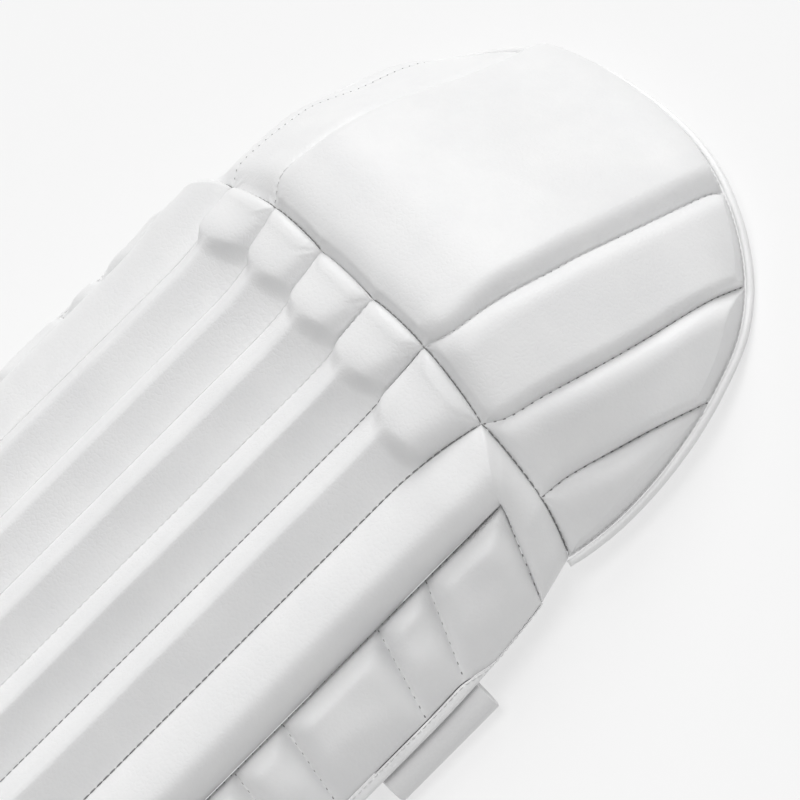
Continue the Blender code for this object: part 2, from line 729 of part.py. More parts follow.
def binding(name: str, rows: list[list[Seam]]) -> None:
    """A flat strip of folded leather between two lines."""
    rows = inset_net(rows)
    body = bmesh.new()
    grid = [[body.verts.new(on_floor(s.point)) for s in row] for row in rows]
    for lower, upper in zip(grid, grid[1:]):
        body.faces.new((lower[0], lower[1], upper[1], upper[0]))
    bmesh.ops.recalc_face_normals(body, faces=body.faces[:])
    piece = add_mesh(name, body, "white leather", WHITE_LEATHER)
    shell = piece.modifiers.new("thickness", "SOLIDIFY")
    shell.thickness = COVER
    shell.offset = -1.0
    shell.use_even_offset = True


def calf_strap_path(drop: float) -> list[Vector]:
    """Half of the calf strap's path: from under the wing, round its edge and down to the floor."""
    lowest = drop + CALF_STRAP_WIDTH / 2
    edge = level_point("edge", KNEE_Y - lowest)
    inner = wing_seam(lowest).point
    outward = (edge - inner).normalized()
    down = Vector((outward.z, 0, -outward.x)).normalized()
    half = STRAP_THICKNESS / 2
    start = inner.lerp(edge, CALF_STRAP_START) + down * (COVER + WING_BACK + GAP + half)
    rim = edge + down * (COVER + 2 * GAP + half)
    bulge = edge.x + STRAP_BULGE - half
    return [
        start,
        rim,
        Vector((bulge - STRAP_ROUNDING, 0, half + 3 * (rim.z - half) / 4)),
        Vector((bulge, 0, half + (rim.z - half) / 2)),
        Vector((bulge - STRAP_ROUNDING, 0, half + (rim.z - half) / 4)),
        Vector((bulge - STRAP_TURN, 0, half)),
    ]


def ankle_strap_path(drop: float) -> list[Vector]:
    """Half of the ankle strap's path, which starts on the wing's back and runs down inside it."""
    lowest = drop + ANKLE_STRAP_WIDTH / 2
    edge = level_point("edge", KNEE_Y - lowest)
    inner = wing_seam(lowest).point
    outward = (edge - inner).normalized()
    down = Vector((outward.z, 0, -outward.x)).normalized()
    half = STRAP_THICKNESS / 2
    clear = down * (COVER + WING_BACK + GAP + half)
    start = inner.lerp(edge, ANKLE_STRAP_START) + clear
    turn = inner.lerp(edge, ANKLE_STRAP_END) + clear
    floor = Vector((ANKLE_STRAP_FLOOR * turn.x, 0, half))
    return [start, turn, (turn + floor) / 2, floor]


def strap(name: str, rows: list[Vector], drop: float, width: float) -> None:
    """A closed strap that runs from wing to wing behind the leg and lies flat on the floor."""
    path = rows + [Vector((-p.x, 0, p.z)) for p in rows[::-1]]
    body = bmesh.new()
    grid = []
    for point in path:
        ends = (KNEE_Y - drop - width / 2, KNEE_Y - drop + width / 2)
        grid.append([body.verts.new((point.x, y, point.z)) for y in ends])
    for a, b in zip(grid, grid[1:]):
        body.faces.new((a[0], a[1], b[1], b[0]))
    bmesh.ops.recalc_face_normals(body, faces=body.faces[:])
    piece = add_mesh(name, body, "white webbing", WHITE_WEBBING)
    shell = piece.modifiers.new("thickness", "SOLIDIFY")
    shell.thickness = STRAP_THICKNESS
    shell.offset = 0.0


def main() -> None:
    """Builds the guard."""
    for old in list(bpy.data.objects):
        bpy.data.objects.remove(old, do_unlink=True)
    guard = bpy.data.collections.new("leg_guard")
    bpy.context.scene.collection.children.link(guard)
    shin_rolls()
    side_rolls_and_wings()
    hat()
    hat_piping()
    instep_piping()
    bindings()
    strap("calf_strap", calf_strap_path(CALF_STRAP_DROP), CALF_STRAP_DROP, CALF_STRAP_WIDTH)
    strap("ankle_strap", ankle_strap_path(ANKLE_STRAP_DROP), ANKLE_STRAP_DROP, ANKLE_STRAP_WIDTH)


main()
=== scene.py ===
"""The look of one wicket keeping leg guard, which lies on its back on a pale studio floor.

Metres, +Z up. +Y runs up the shin to the rounded hat over the knee, and +X is the right hand side of
someone who looks at the front. Each padded piece is lofted between the same seam lines as its solid.
"""

import logging
import math
from dataclasses import dataclass, field
from enum import Enum
from typing import Callable, NamedTuple

import bpy
import numpy as np
from mathutils import Matrix, Vector


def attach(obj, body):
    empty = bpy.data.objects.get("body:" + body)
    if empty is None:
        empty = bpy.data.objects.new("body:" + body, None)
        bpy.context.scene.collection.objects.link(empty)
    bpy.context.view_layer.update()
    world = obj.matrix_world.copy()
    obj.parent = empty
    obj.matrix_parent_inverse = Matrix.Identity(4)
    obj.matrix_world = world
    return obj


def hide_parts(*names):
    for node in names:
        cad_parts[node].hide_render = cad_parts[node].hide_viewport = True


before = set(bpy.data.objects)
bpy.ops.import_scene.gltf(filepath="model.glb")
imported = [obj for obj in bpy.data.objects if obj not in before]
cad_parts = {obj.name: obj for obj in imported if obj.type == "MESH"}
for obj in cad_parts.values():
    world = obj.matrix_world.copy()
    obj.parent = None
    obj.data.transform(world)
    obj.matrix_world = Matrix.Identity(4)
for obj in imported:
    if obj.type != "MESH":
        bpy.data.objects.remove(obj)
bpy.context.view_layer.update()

log = logging.getLogger("leg_guard")
Array = np.ndarray
Colour = tuple[float, float, float, float]


class Side(Enum):
    """The guard's two sides, with the sign of X there."""

    RIGHT = 1
    LEFT = -1

    @property
    def word(self) -> str:
        """The side's name in small letters."""
        return self.name.lower()

    def turned(self, right: "Line | Net") -> "Line | Net":
        """What lies on the right side: as it is for the right, and mirrored for the left."""
        return right if self is Side.RIGHT else right.mirrored()


class ShinLine(NamedTuple):
    """A seam down the shin, as shares of the named sizes."""

    reach: float
    depth: float
    knee_reach: float
    knee_depth: float
    sweep: float
    instep: float


SHIN_LINES = {
    "middle": ShinLine(0.114, 0.000, 0.137, 0.000, 0.00, 1.00),
    "front": ShinLine(0.331, 0.065, 0.399, 0.000, 0.00, 0.80),
    "side": ShinLine(0.553, 0.115, 0.673, 0.226, 0.32, 0.32),
    "wing": ShinLine(0.737, 0.540, 0.850, 0.470, 1.21, 0.00),
    "edge": ShinLine(1.000, 1.000, 1.030, 1.000, 1.00, 0.00),
}
LINE_ORDER = ("middle", "front", "side", "wing", "edge")
# Where the outer hat seam leaves the knee seam: reach, depth and sweep
OUTER_KNEE = (0.902, 0.580, 0.541)

# A hat seam's rows: share up the seam, then shares of the hat's half width and drop
HAT_LINES = {
    "front": (
        (0.09, 0.429, -0.045),
        (0.20, 0.435, 0.000),
        (0.30, 0.440, 0.066),
        (0.40, 0.445, 0.154),
        (0.51, 0.442, 0.266),
        (0.61, 0.437, 0.389),
        (0.71, 0.432, 0.514),
        (0.82, 0.430, 0.642),
        (0.94, 0.432, 0.771),
    ),
    "side": (
        (0.07, 0.685, 0.176),
        (0.19, 0.704, 0.213),
        (0.31, 0.719, 0.272),
        (0.44, 0.730, 0.353),
        (0.61, 0.722, 0.511),
        (0.85, 0.712, 0.718),
    ),
    "outer": (
        (0.17, 0.851, 0.521),
        (0.39, 0.867, 0.588),
        (0.71, 0.890, 0.708),
    ),
}
HAT_ORDER = ("front", "side", "outer")
# Where each hat seam meets the rim, and where the outer panel's side along the rim ends
RIM_ANGLES_DEG = {"front": 64.5, "side": 46.6, "outer": 23.7}
OUTER_END_DEG = 22.0
# The rim's drop: angle in degrees, then share of the hat's drop
RIM_ROWS = (
    (-12.0, 0.822),
    (0.0, 0.853),
    (14.0, 0.857),
    (26.0, 0.880),
    (37.0, 0.955),
    (47.0, 0.970),
    (64.0, 0.890),
    (90.0, 0.920),
)
# The side roll's arm: share along the knee seam, then share along the first wing cell's seam
ARM_STEPS = (
    (0.0, 0.0),
    (1 / 3, 0.06),
    (2 / 3, 0.18),
    (1.0, 0.36),
    (4 / 3, 0.58),
    (5 / 3, 0.80),
    (1.995, 0.995),
)
STUB_SHARES = (0.97, 0.90, 0.92, 1.00, 1.13)  # each knob's length, from the left roll to the right one
SLANT_SHARES = (0.94, 1.0, 0.67, 0.40, 0.25, 0.12)  # each cross seam's slant, from the knee down
# The folds at a crossing, in two sets: height, number, and turn from one crossing to the next
FOLD_SETS = ((1.0, 7, 1.7), (0.6, 13, 0.9))
FOLD_FALL = 1.6  # how suddenly the folds run out
MIRROR = np.array([-1.0, 1.0, 1.0])  # turns places over to the other side
WHOLE = 1.0  # a shoulder wider than any piece, which rounds it right across


def smooth(share: Array) -> Array:
    """Eases shares from 0 to 1."""
    share = np.clip(share, 0.0, 1.0)
    return share * share * (3 - 2 * share)


def blend(start: Array, end: Array, share: Array) -> Array:
    """Mixes two sets of values, with the first at 0 and the second at 1."""
    return start * (1 - share) + end * share


def unit(vectors: Array) -> Array:
    """Scales vectors to a length of 1."""
    return vectors / np.maximum(np.linalg.norm(vectors, axis=-1, keepdims=True), 1e-12)


def lengths_along(points: Array) -> Array:
    """How far each point of a line lies from its first one, along it."""
    steps = np.linalg.norm(np.diff(points, axis=0), axis=-1)
    return np.concatenate([[0.0], np.cumsum(steps)])


def read_rows(at: Array, places: Array, rows: Array) -> Array:
    """Reads the straight stretches between rows of values that stand at places along a line."""
    return np.stack([np.interp(at, places, column) for column in rows.T], axis=-1)


def curve_through(shares: Array, points: Array, at: Array) -> Array:
    """Reads a smooth curve through rows of points.

    Args:
        shares: where each point stands along the curve.
        points: one row of numbers for each share.
        at: the places to read.

    Returns:
        One row of numbers for each place.
    """
    at = np.atleast_1d(at)
    slopes = np.empty_like(points)
    slopes[1:-1] = (points[2:] - points[:-2]) / (shares[2:] - shares[:-2])[:, None]
    slopes[0] = (points[1] - points[0]) / (shares[1] - shares[0])
    slopes[-1] = (points[-1] - points[-2]) / (shares[-1] - shares[-2])
    i = np.clip(np.searchsorted(shares, at, side="left") - 1, 0, len(shares) - 2)
    h = (shares[i + 1] - shares[i])[:, None]
    t = (at[:, None] - shares[i][:, None]) / h
    return (
        points[i] * (2 * t**3 - 3 * t**2 + 1)
        + slopes[i] * h * (t**3 - 2 * t**2 + t)
        + points[i + 1] * (3 * t**2 - 2 * t**3)
        + slopes[i + 1] * h * (t**3 - t**2)
    )


def crowded(count: int, strength: float) -> Array:
    """Shares from 0 to 1 that stand closer together at both ends.

    Args:
        count: how many shares.
        strength: 0 spaces them evenly and 1 as a cosine does.

    Returns:
        The shares.
    """
    even = np.linspace(0.0, 1.0, count)
    return even * (1 - strength) + (0.5 - 0.5 * np.cos(math.pi * even)) * strength


@dataclass
class Line:
    """A seam line: its points, with the direction that the padding swells in at each."""

    points: Array
    normals: Array

    def mirrored(self) -> "Line":
        """The same line on the other side."""
        return Line(self.points * MIRROR, self.normals * MIRROR)

    def towards(self, other: "Line", share: Array) -> "Line":
        """The line that lies a share of the way to another."""
        return Line(blend(self.points, other.points, share), unit(blend(self.normals, other.normals, share)))

    @staticmethod
    def joined(*lines: "Line") -> "Line":
        """One line through several, in their order."""
        return Line(np.vstack([one.points for one in lines]), np.vstack([one.normals for one in lines]))


@dataclass(frozen=True)
class Seams:
    """The seam lines of the guard, from the sizes that the solids have."""

    shin_length: float = 0.440
    hat_base: float = 0.010
    hat_arch: float = 0.1495
    half_width: float = 0.154
    hat_half_width: float = 0.146
    front_height: float = 0.069
    wrap_depth: float = 0.0485
    ankle_wrap: float = 0.018
    ankle_taper: float = 0.009
    ankle_start: float = 0.20
    knee_rise: float = 0.0092
    knee_depth: float = 0.0607
    knee_sweep: float = 0.019
    knee_blend: float = 0.050
    edge_blend: float = 0.095
    hat_drop: float = 0.0762
    instep_arch: float = 0.034
    corner_drop: float = 0.023
    long_cell: float = 0.055
    short_cell: float = 0.028
    first_cell: float = 0.044
    cell_slant: float = 0.018
    gap: float = 0.0004
    piping_diameter: float = 0.004
    binding_width: float = 0.005
    knee_bow: float = 0.0013  # the knee seam bows towards the hat between its crossings
    bow_fade: float = 0.02  # distance from the knee seam over which the bow runs out
    knee_lean: float = 0.05  # how far the knee seam's line leans down where its normals are taken
    knee_turn: float = 0.004  # length over which a shin seam's normals turn to the knee seam's own
    normal_step: float = 0.004  # half the length over which a shin seam's direction is measured
    hat_step: float = 0.03  # the same for a hat seam, as a share of it
    hat_turn: float = 0.05  # share of a hat seam over which its normals turn at either end
    bare_top: float = 0.0005  # width of the binding that shows beside the top cell
    bare_start: float = 0.068  # distance down the leg where it starts to widen to the whole binding
    bare_fade: float = 0.022  # and over which it widens
    rim_squareness: float = 2.16  # 2 is an ellipse, and more is squarer
    rim_tilt_side: float = 1.0
    rim_tilt_top: float = 0.6

    @property
    def knee_y(self) -> float:
        """Where the middle of the knee seam lies along Y."""
        return (self.shin_length - self.hat_base - self.hat_arch) / 2

    @property
    def roll_length(self) -> float:
        """Length from the knee seam to the piping along the ankle end."""
        return self.shin_length - self.piping_diameter - 2 * self.gap

    @property
    def rim_end(self) -> float:
        """The rim's angle where it meets the knee seam's end."""
        radius = self.hat_arch - self.piping_diameter - self.gap
        return -math.asin((self.knee_sweep + self.hat_base) / radius)

    def world(self, x: Array, along: Array, above: Array) -> Array:
        """Turns places measured from the knee seam and the front seams into the part's frame.

        Args:
            x: distance to the right.
            along: distance up the leg from the knee seam.
            above: height over the shin's front seams.

        Returns:
            Points, one row each.
        """
        x, along, above = np.broadcast_arrays(x, along, above)
        return np.stack([x, self.knee_y + along, self.front_height + above], axis=-1).astype(float)

    def rim_reach(self, x: Array, y: Array) -> Array:
        """How far out places lie, with the rim at 1."""
        power = np.where(y > 0, self.rim_squareness, 2.0)
        return (np.abs(x) ** power + np.abs(y) ** power) ** (1 / power)

    def rim_point(self, angle: Array, inset: float | None = None) -> Array:
        """Points of the hat's rim.

        Args:
            angle: angles round the rim from its right hand side, in radians.
            inset: distance inside the outer edge, or None for the padding's own edge.

        Returns:
            Points, one row each.
        """
        inset = self.piping_diameter + self.gap if inset is None else inset
        angle = np.atleast_1d(angle)
        rows = np.array(RIM_ROWS)
        folded = np.where(angle <= math.pi / 2, angle, math.pi - angle)
        drop = curve_through(np.radians(rows[:, 0]), rows[:, 1:], folded)[:, 0] * self.hat_drop
        reach = self.rim_reach(np.cos(angle), np.sin(angle))
        x = (self.hat_half_width - inset) * np.cos(angle) / reach
        along = self.hat_base + (self.hat_arch - inset) * np.sin(angle) / reach
        return self.world(x, along, self.knee_rise - drop)

    def rim_normal(self, angle: Array) -> Array:
        """The directions that the hat swells in at its rim."""
        angle = np.atleast_1d(angle)
        tilt = [self.rim_tilt_side * np.cos(angle), self.rim_tilt_top * np.sin(angle), np.ones_like(angle)]
        return unit(np.stack(tilt, axis=-1))

    def knee_point(self, reach: float, depth: float, sweep: float) -> Array:
        """A point of the knee seam on the right side."""
        half = self.rim_point(self.rim_end)[0, 0]
        return self.world(reach * half, -sweep * self.knee_sweep, self.knee_rise - depth * self.knee_depth)

    def shin_point(self, name: str, below: Array) -> Array:
        """Points of a shin seam on the right side.

        Args:
            name: which seam.
            below: distances below the knee seam.

        Returns:
            Points, one row each.
        """
        below = np.atleast_1d(below).astype(float)
        line = SHIN_LINES[name]
        fade = self.edge_blend if name == "edge" else self.knee_blend
        share = (np.maximum(0.0, 1 - below / fade) ** 2)[:, None]
        ankle = smooth((below - self.ankle_start) / (self.shin_length - self.ankle_start))
        knee = self.knee_point(line.knee_reach, line.knee_depth, line.sweep)
        shin = self.world(
            line.reach * (self.half_width - self.ankle_taper * ankle),
            -line.sweep * self.knee_sweep,
            -line.depth * (self.wrap_depth + self.ankle_wrap * ankle),
        )
        points = blend(shin, knee, share)
        points[:, 1] -= below
        return points

    def level_point(self, name: str, y: Array) -> Array:
        """The points of a shin seam at levels of the leg."""
        start = self.shin_point(name, 0.0)[0, 1]
        return self.shin_point(name, np.maximum(start - y, 0.0))

    def shin_normal(self, name: str, below: Array) -> Array:
        """The directions that the padding swells in along a shin seam."""
        below = np.atleast_1d(below).astype(float)
        i = LINE_ORDER.index(name)
        point = self.shin_point(name, below)
        level = point[:, 1]
        inner = self.level_point(LINE_ORDER[i - 1], level) if i else point * MIRROR
        outer = self.level_point(LINE_ORDER[min(i + 1, len(LINE_ORDER) - 1)], level)
        step = self.normal_step
        along = self.shin_point(name, np.maximum(below - step, 0)) - self.shin_point(name, below + step)
        return unit(np.cross(outer - inner, along))

    def seam_length(self, name: str) -> float:
        """The length of a shin seam, from the knee seam to the ankle end."""
        line = SHIN_LINES[name]
        return self.roll_length - line.sweep * self.knee_sweep - line.instep * self.instep_arch

    def knee_row(self) -> Line:
        """The right half of the knee seam: middle, front, side, outer and end."""
        points = [self.shin_point(name, 0.0)[0] for name in LINE_ORDER[:3]]
        points.append(self.knee_point(*OUTER_KNEE))
        points.append(self.rim_point(self.rim_end)[0])
        points = np.array(points)
        across = np.concatenate([points[1:2] - points[0:1], points[2:5] - points[0:3]])
        normals = unit(np.cross(across, np.array([0.0, 1.0, -self.knee_lean])))
        return Line(points, np.concatenate([normals, self.rim_normal(self.rim_end)]))

    def shin_line(self, name: str, below: Array) -> Line:
        """A shin seam with its normals, which turn to the knee seam's own at the top."""
        normals = self.shin_normal(name, below)
        if name in LINE_ORDER[:3]:
            knee = self.knee_row().normals[LINE_ORDER.index(name)]
            normals = unit(blend(knee, normals, smooth(below / self.knee_turn)[:, None]))
        return Line(self.shin_point(name, below), normals)

    def hat_point(self, name: str, share: Array) -> Array:
        """Points of a hat seam on the right side, from the knee seam to the rim."""
        start = self.knee_row().points[HAT_ORDER.index(name) + 1]
        end = self.rim_point(math.radians(RIM_ANGLES_DEG[name]))[0]
        rows = np.array(HAT_LINES[name])
        points = self.world(rows[:, 1] * self.hat_half_width, 0, self.knee_rise - rows[:, 2] * self.hat_drop)
        points[:, 1] = start[1] + rows[:, 0] * (end[1] - start[1])
        shares = np.concatenate([[0.0], rows[:, 0], [1.0]])
        return curve_through(shares, np.vstack([start, points, end]), share)

    def rim_side_angle(self, share: Array) -> Array:
        """The rim's angles beside the outer hat panel."""
        return self.rim_end + share * (math.radians(OUTER_END_DEG) - self.rim_end)

    def near_rim(self, share: Array) -> Array:
        """How far a hat seam's normals have turned to the rim's, from 0 to 1."""
        return smooth((share - (1 - self.hat_turn)) / self.hat_turn)

    def hat_line(self, name: str, share: Array) -> Line:
        """A hat seam with its normals.

        Args:
            name: which seam.
            share: places along it, from 0 at the knee seam to 1 at the rim.

        Returns:
            The line.
        """
        i = HAT_ORDER.index(name)
        points = self.hat_point(name, share)
        if i:
            inner = self.hat_point(HAT_ORDER[i - 1], share)
        else:
            inner = points * np.array([0.0, 1.0, 1.0])
        if name == "outer":
            outer = self.rim_point(self.rim_side_angle(share))
        else:
            outer = self.hat_point(HAT_ORDER[i + 1], share)
        ahead = self.hat_point(name, np.minimum(share + self.hat_step, 1))
        along = ahead - self.hat_point(name, np.maximum(share - self.hat_step, 0))
        knee = self.knee_row().normals[i + 1]
        rim = self.rim_normal(math.radians(RIM_ANGLES_DEG[name]))[0]
        low = smooth(share / self.hat_turn)[:, None]
        normals = unit(blend(knee, unit(np.cross(outer - inner, along)), low))
        return Line(points, unit(blend(normals, rim, self.near_rim(share)[:, None])))

    def cell_levels(self) -> list[tuple[float, float]]:
        """The wing's cross seams, each as its distance down the wing seam and down the outer edge."""
        levels = []
        down = self.corner_drop
        cells = [self.first_cell]
        while down + sum(cells) < self.roll_length - self.short_cell:
            cells.append(self.short_cell if len(cells) % 2 else self.long_cell)
        cells[-1] += self.roll_length - down - sum(cells)
        for number in range(len(cells) + 1):
            slant = self.cell_slant * (SLANT_SHARES[number] if number < len(SLANT_SHARES) else 0.0)
            levels.append((down, down + slant))
            down += cells[number] if number < len(cells) else 0.0
        return levels

    def binding_reach(self, level: Array) -> Array:
        """How much of the binding the wing's padding leaves bare at distances down the leg."""
        high = smooth((np.atleast_1d(level) - self.bare_start) / self.bare_fade)
        return self.bare_top + (self.binding_width - self.bare_top) * high

    def wing_edge(self, level: Array, inset: float | Array) -> Line:
        """Places on the wing's outer edge, drawn in towards the wing seam."""
        y = self.knee_y - np.atleast_1d(level)
        edge = self.level_point("edge", y)
        inner = self.level_point("wing", y)
        below = np.maximum(self.shin_point("edge", 0.0)[0, 1] - y, 0.0)
        inward = unit(inner - edge) * np.reshape(inset, (-1, 1))
        return Line(edge + inward, self.shin_normal("edge", below))

    def wing_seam(self, level: Array) -> Line:
        """Places on the seam between the side roll and the wing."""
        y = self.knee_y - np.atleast_1d(level)
        below = np.maximum(self.shin_point("wing", 0.0)[0, 1] - y, 0.0)
        return Line(self.shin_point("wing", below), self.shin_normal("wing", below))

    def bow(self, x: Array) -> Array:
        """How far the knee seam bows towards the hat at places across the guard."""
        right = self.knee_row().points[:, 0]
        crossings = np.concatenate([-right[::-1], right])
        i = np.clip(np.searchsorted(crossings, x) - 1, 0, len(crossings) - 2)
        share = np.clip((x - crossings[i]) / (crossings[i + 1] - crossings[i]), 0.0, 1.0)
        return self.knee_bow * np.sqrt(np.maximum(4 * share * (1 - share), 0.0))


SEAMS = Seams()


class Studs(NamedTuple):
    """Distances of a net's places from its four borders."""

    left: Array
    right: Array
    first: Array
    last: Array

    @property
    def across(self) -> Array:
        """Shares of the way across the net, from its left border."""
        return self.left / (self.left + self.right)


@dataclass(frozen=True)
class Filling:
    """How a padded piece rises from its borders."""

    crown: float  # height over the seams
    left: float  # width of the rounded shoulder beside each border
    right: float
    first: float
    last: float
    power: float = 2.2  # above 2, flatter on top with a tighter bend
    drape: float = 0.95  # 0.5 meets the seam upright and 1 at a slope

    def edge(self, distance: Array, width: float | Array) -> Array:
        """The share of the crown at distances from a border."""
        share = np.clip(distance / width, 0.0, 1.0)
        return (1 - (1 - share) ** self.power) ** self.drape

    def heights(self, from_borders: Studs) -> Array:
        """The padding's height at each place of a net.

        Args:
            from_borders: distances of the places from the net's borders.

        Returns:
            Heights.
        """
        width = from_borders.left + from_borders.right
        half = width / 2
        rise = self.edge(from_borders.left, np.minimum(self.left, half))
        rise = rise * self.edge(from_borders.right, np.minimum(self.right, half))
        rise = rise * self.edge(from_borders.first, self.first) * self.edge(from_borders.last, self.last)
        return np.minimum(self.crown, width / 3) * rise


@dataclass
class Net:
    """Places over a padded piece's base, in rows from one seam line to the other."""

    base: Array
    normals: Array

    @staticmethod
    def between(left: Line, right: Line, across: Array, gap: float | None = None) -> "Net":
        """Makes a net on straight lines between two seam lines.

        Args:
            left: the seam line on one side.
            right: the seam line on the other, with as many points.
            across: shares of the way from one to the other.
            gap: how far neighbours stay apart, or none for the guard's own gap.

        Returns:
            The net, drawn in a little at both lines.
        """
        gap = SEAMS.gap if gap is None else gap
        width = np.linalg.norm(right.points - left.points, axis=-1)[:, None]
        inset = np.minimum(gap / 2 / np.maximum(width, 1e-6), 0.3)
        t = (inset + across[None, :] * (1 - 2 * inset))[..., None]
        base = blend(left.points[:, None], right.points[:, None], t)
        return Net(base, unit(blend(left.normals[:, None], right.normals[:, None], t)))

    def mirrored(self) -> "Net":
        """The same net on the other side."""
        return Net(self.base * MIRROR, self.normals * MIRROR)

    def from_borders(self) -> Studs:
        """Measures each place's distance from the net's borders, along the net."""
        across = np.linalg.norm(np.diff(self.base, axis=1), axis=-1)
        left = np.concatenate([np.zeros((len(self.base), 1)), np.cumsum(across, axis=1)], axis=1)
        down = np.linalg.norm(np.diff(self.base, axis=0), axis=-1)
        first = np.concatenate([np.zeros((1, self.base.shape[1])), np.cumsum(down, axis=0)], axis=0)
        return Studs(left, left[:, -1:] - left, first, first[-1:] - first)

    def bowed(self) -> "Net":
        """Draws the first rows along with the bow of the knee seam.

        Returns:
            The bowed net.
        """
        first = self.from_borders().first
        base = self.base.copy()
        base[..., 1] += SEAMS.bow(self.base[0, :, 0])[None, :] * (1 - smooth(first / SEAMS.bow_fade))
        return Net(base, self.normals)


def ripple(points: Array, length: float, seed: int) -> Array:
    """Smooth unevenness, from -1 to 1, that looks the same on each run.

    Args:
        points: where to read it.
        length: the size of its swells.
        seed: picks one of many patterns.

    Returns:
        One value for each point.
    """
    chance = np.random.default_rng(seed)
    total = np.zeros(points.shape[:-1])
    for _ in range(6):
        direction = unit(chance.normal(size=3))
        wave = length * chance.uniform(0.6, 1.5)
        total += np.sin(points @ direction * (2 * math.pi / wave) + chance.uniform(0, 2 * math.pi))
    return total / 3.5


@dataclass(frozen=True)
class Unevenness:
    """Soft swells that make padding uneven."""

    share: float  # of the padding's height
    length: float  # of a swell
    seed: int

    def factor(self, points: Array, number: int) -> Array:
        """What heights at points are multiplied by on one of several pieces."""
        return 1 + self.share * ripple(points, self.length, self.seed + number)


def soft_lower(left: Array, right: Array, softness: float) -> Array:
    """The lower of two slopes with a rounded top where they meet, which is 1 high.

    Args:
        left: heights of the one slope.
        right: heights of the other.
        softness: how round the top is, as a share of its height.

    Returns:
        Heights, not below zero.
    """
    lower = -softness * np.log(np.exp(-left / softness) + np.exp(-right / softness))
    return np.maximum(lower / (1 - softness * math.log(2)), 0.0)


def puckers(net: Net, pitch: float = 0.0040, depth: float = 0.00022, reach: float = 0.0016) -> Array:
    """The dents that stitches pull into a piece beside its borders.

    Args:
        net: the piece's net.
        pitch: distance between two stitches.
        depth: how deep the dents are at the seam.
        reach: how far they run in.

    Returns:
        Heights, which are below zero.
    """
    places = net.from_borders()
    down = 0.5 + 0.5 * np.cos(2 * math.pi * places.first / pitch)
    aside = 0.5 + 0.5 * np.cos(2 * math.pi * places.left / pitch)
    sides = down * (np.exp(-places.left / reach) + np.exp(-places.right / reach))
    ends = aside * (np.exp(-places.first / reach) + np.exp(-places.last / reach))
    return -depth * (sides + ends)


def gathers(points: Array, depth: float = 0.0004, reach: float = 0.0055) -> Array:
    """Folds that run out from the places where seams meet on the knee seam.

    Args:
        points: places on a piece.
        depth: height of the folds.
        reach: how far they run.

    Returns:
        Heights above and below zero.
    """
    right = SEAMS.knee_row().points
    heights = np.zeros(points.shape[:-1])
    for number, corner in enumerate(np.vstack([right, right * MIRROR])):
        away = points - corner
        round_it = np.arctan2(away[..., 1], away[..., 0])
        fold = sum(size * np.cos(count * round_it + turn * number) for size, count, turn in FOLD_SETS)
        share = np.linalg.norm(away, axis=-1) / reach
        heights = heights + depth * fold * share * np.exp(-(share**FOLD_FALL))
    return heights


def ring_faces(rings: int, count: int, other_way: bool = False) -> list[list[int]]:
    """The faces of a closed skin over rings of points.

    Args:
        rings: how many rings.
        count: how many points each has.
        other_way: whether the points run the other way round each ring.

    Returns:
        The numbers of each face's points, with the two end faces last.
    """
    index = np.arange(rings * count).reshape(rings, count)
    after = np.roll(index, -1, axis=1)
    quads = np.stack([index[:-1], after[:-1], after[1:], index[1:]], axis=-1).reshape(-1, 4)
    if other_way:
        return quads[:, [0, 3, 2, 1]].tolist() + [index[0].tolist(), index[-1][::-1].tolist()]
    return quads.tolist() + [index[0][::-1].tolist(), index[-1].tolist()]


def make_object(name: str, points: Array, faces: list[list[int]]) -> bpy.types.Object:
    """Makes a smooth mesh and puts it in the scene.

    Args:
        name: the object's name.
        points: its points.
        faces: the numbers of each face's points.

    Returns:
        The new object, which isn't dressed yet.
    """
    mesh = bpy.data.meshes.new(name)
    mesh.from_pydata(points.reshape(-1, 3).tolist(), [], faces)
    mesh.validate()
    mesh.shade_smooth()
    made = bpy.data.objects.new(name, mesh)
    bpy.context.scene.collection.objects.link(made)
    return made


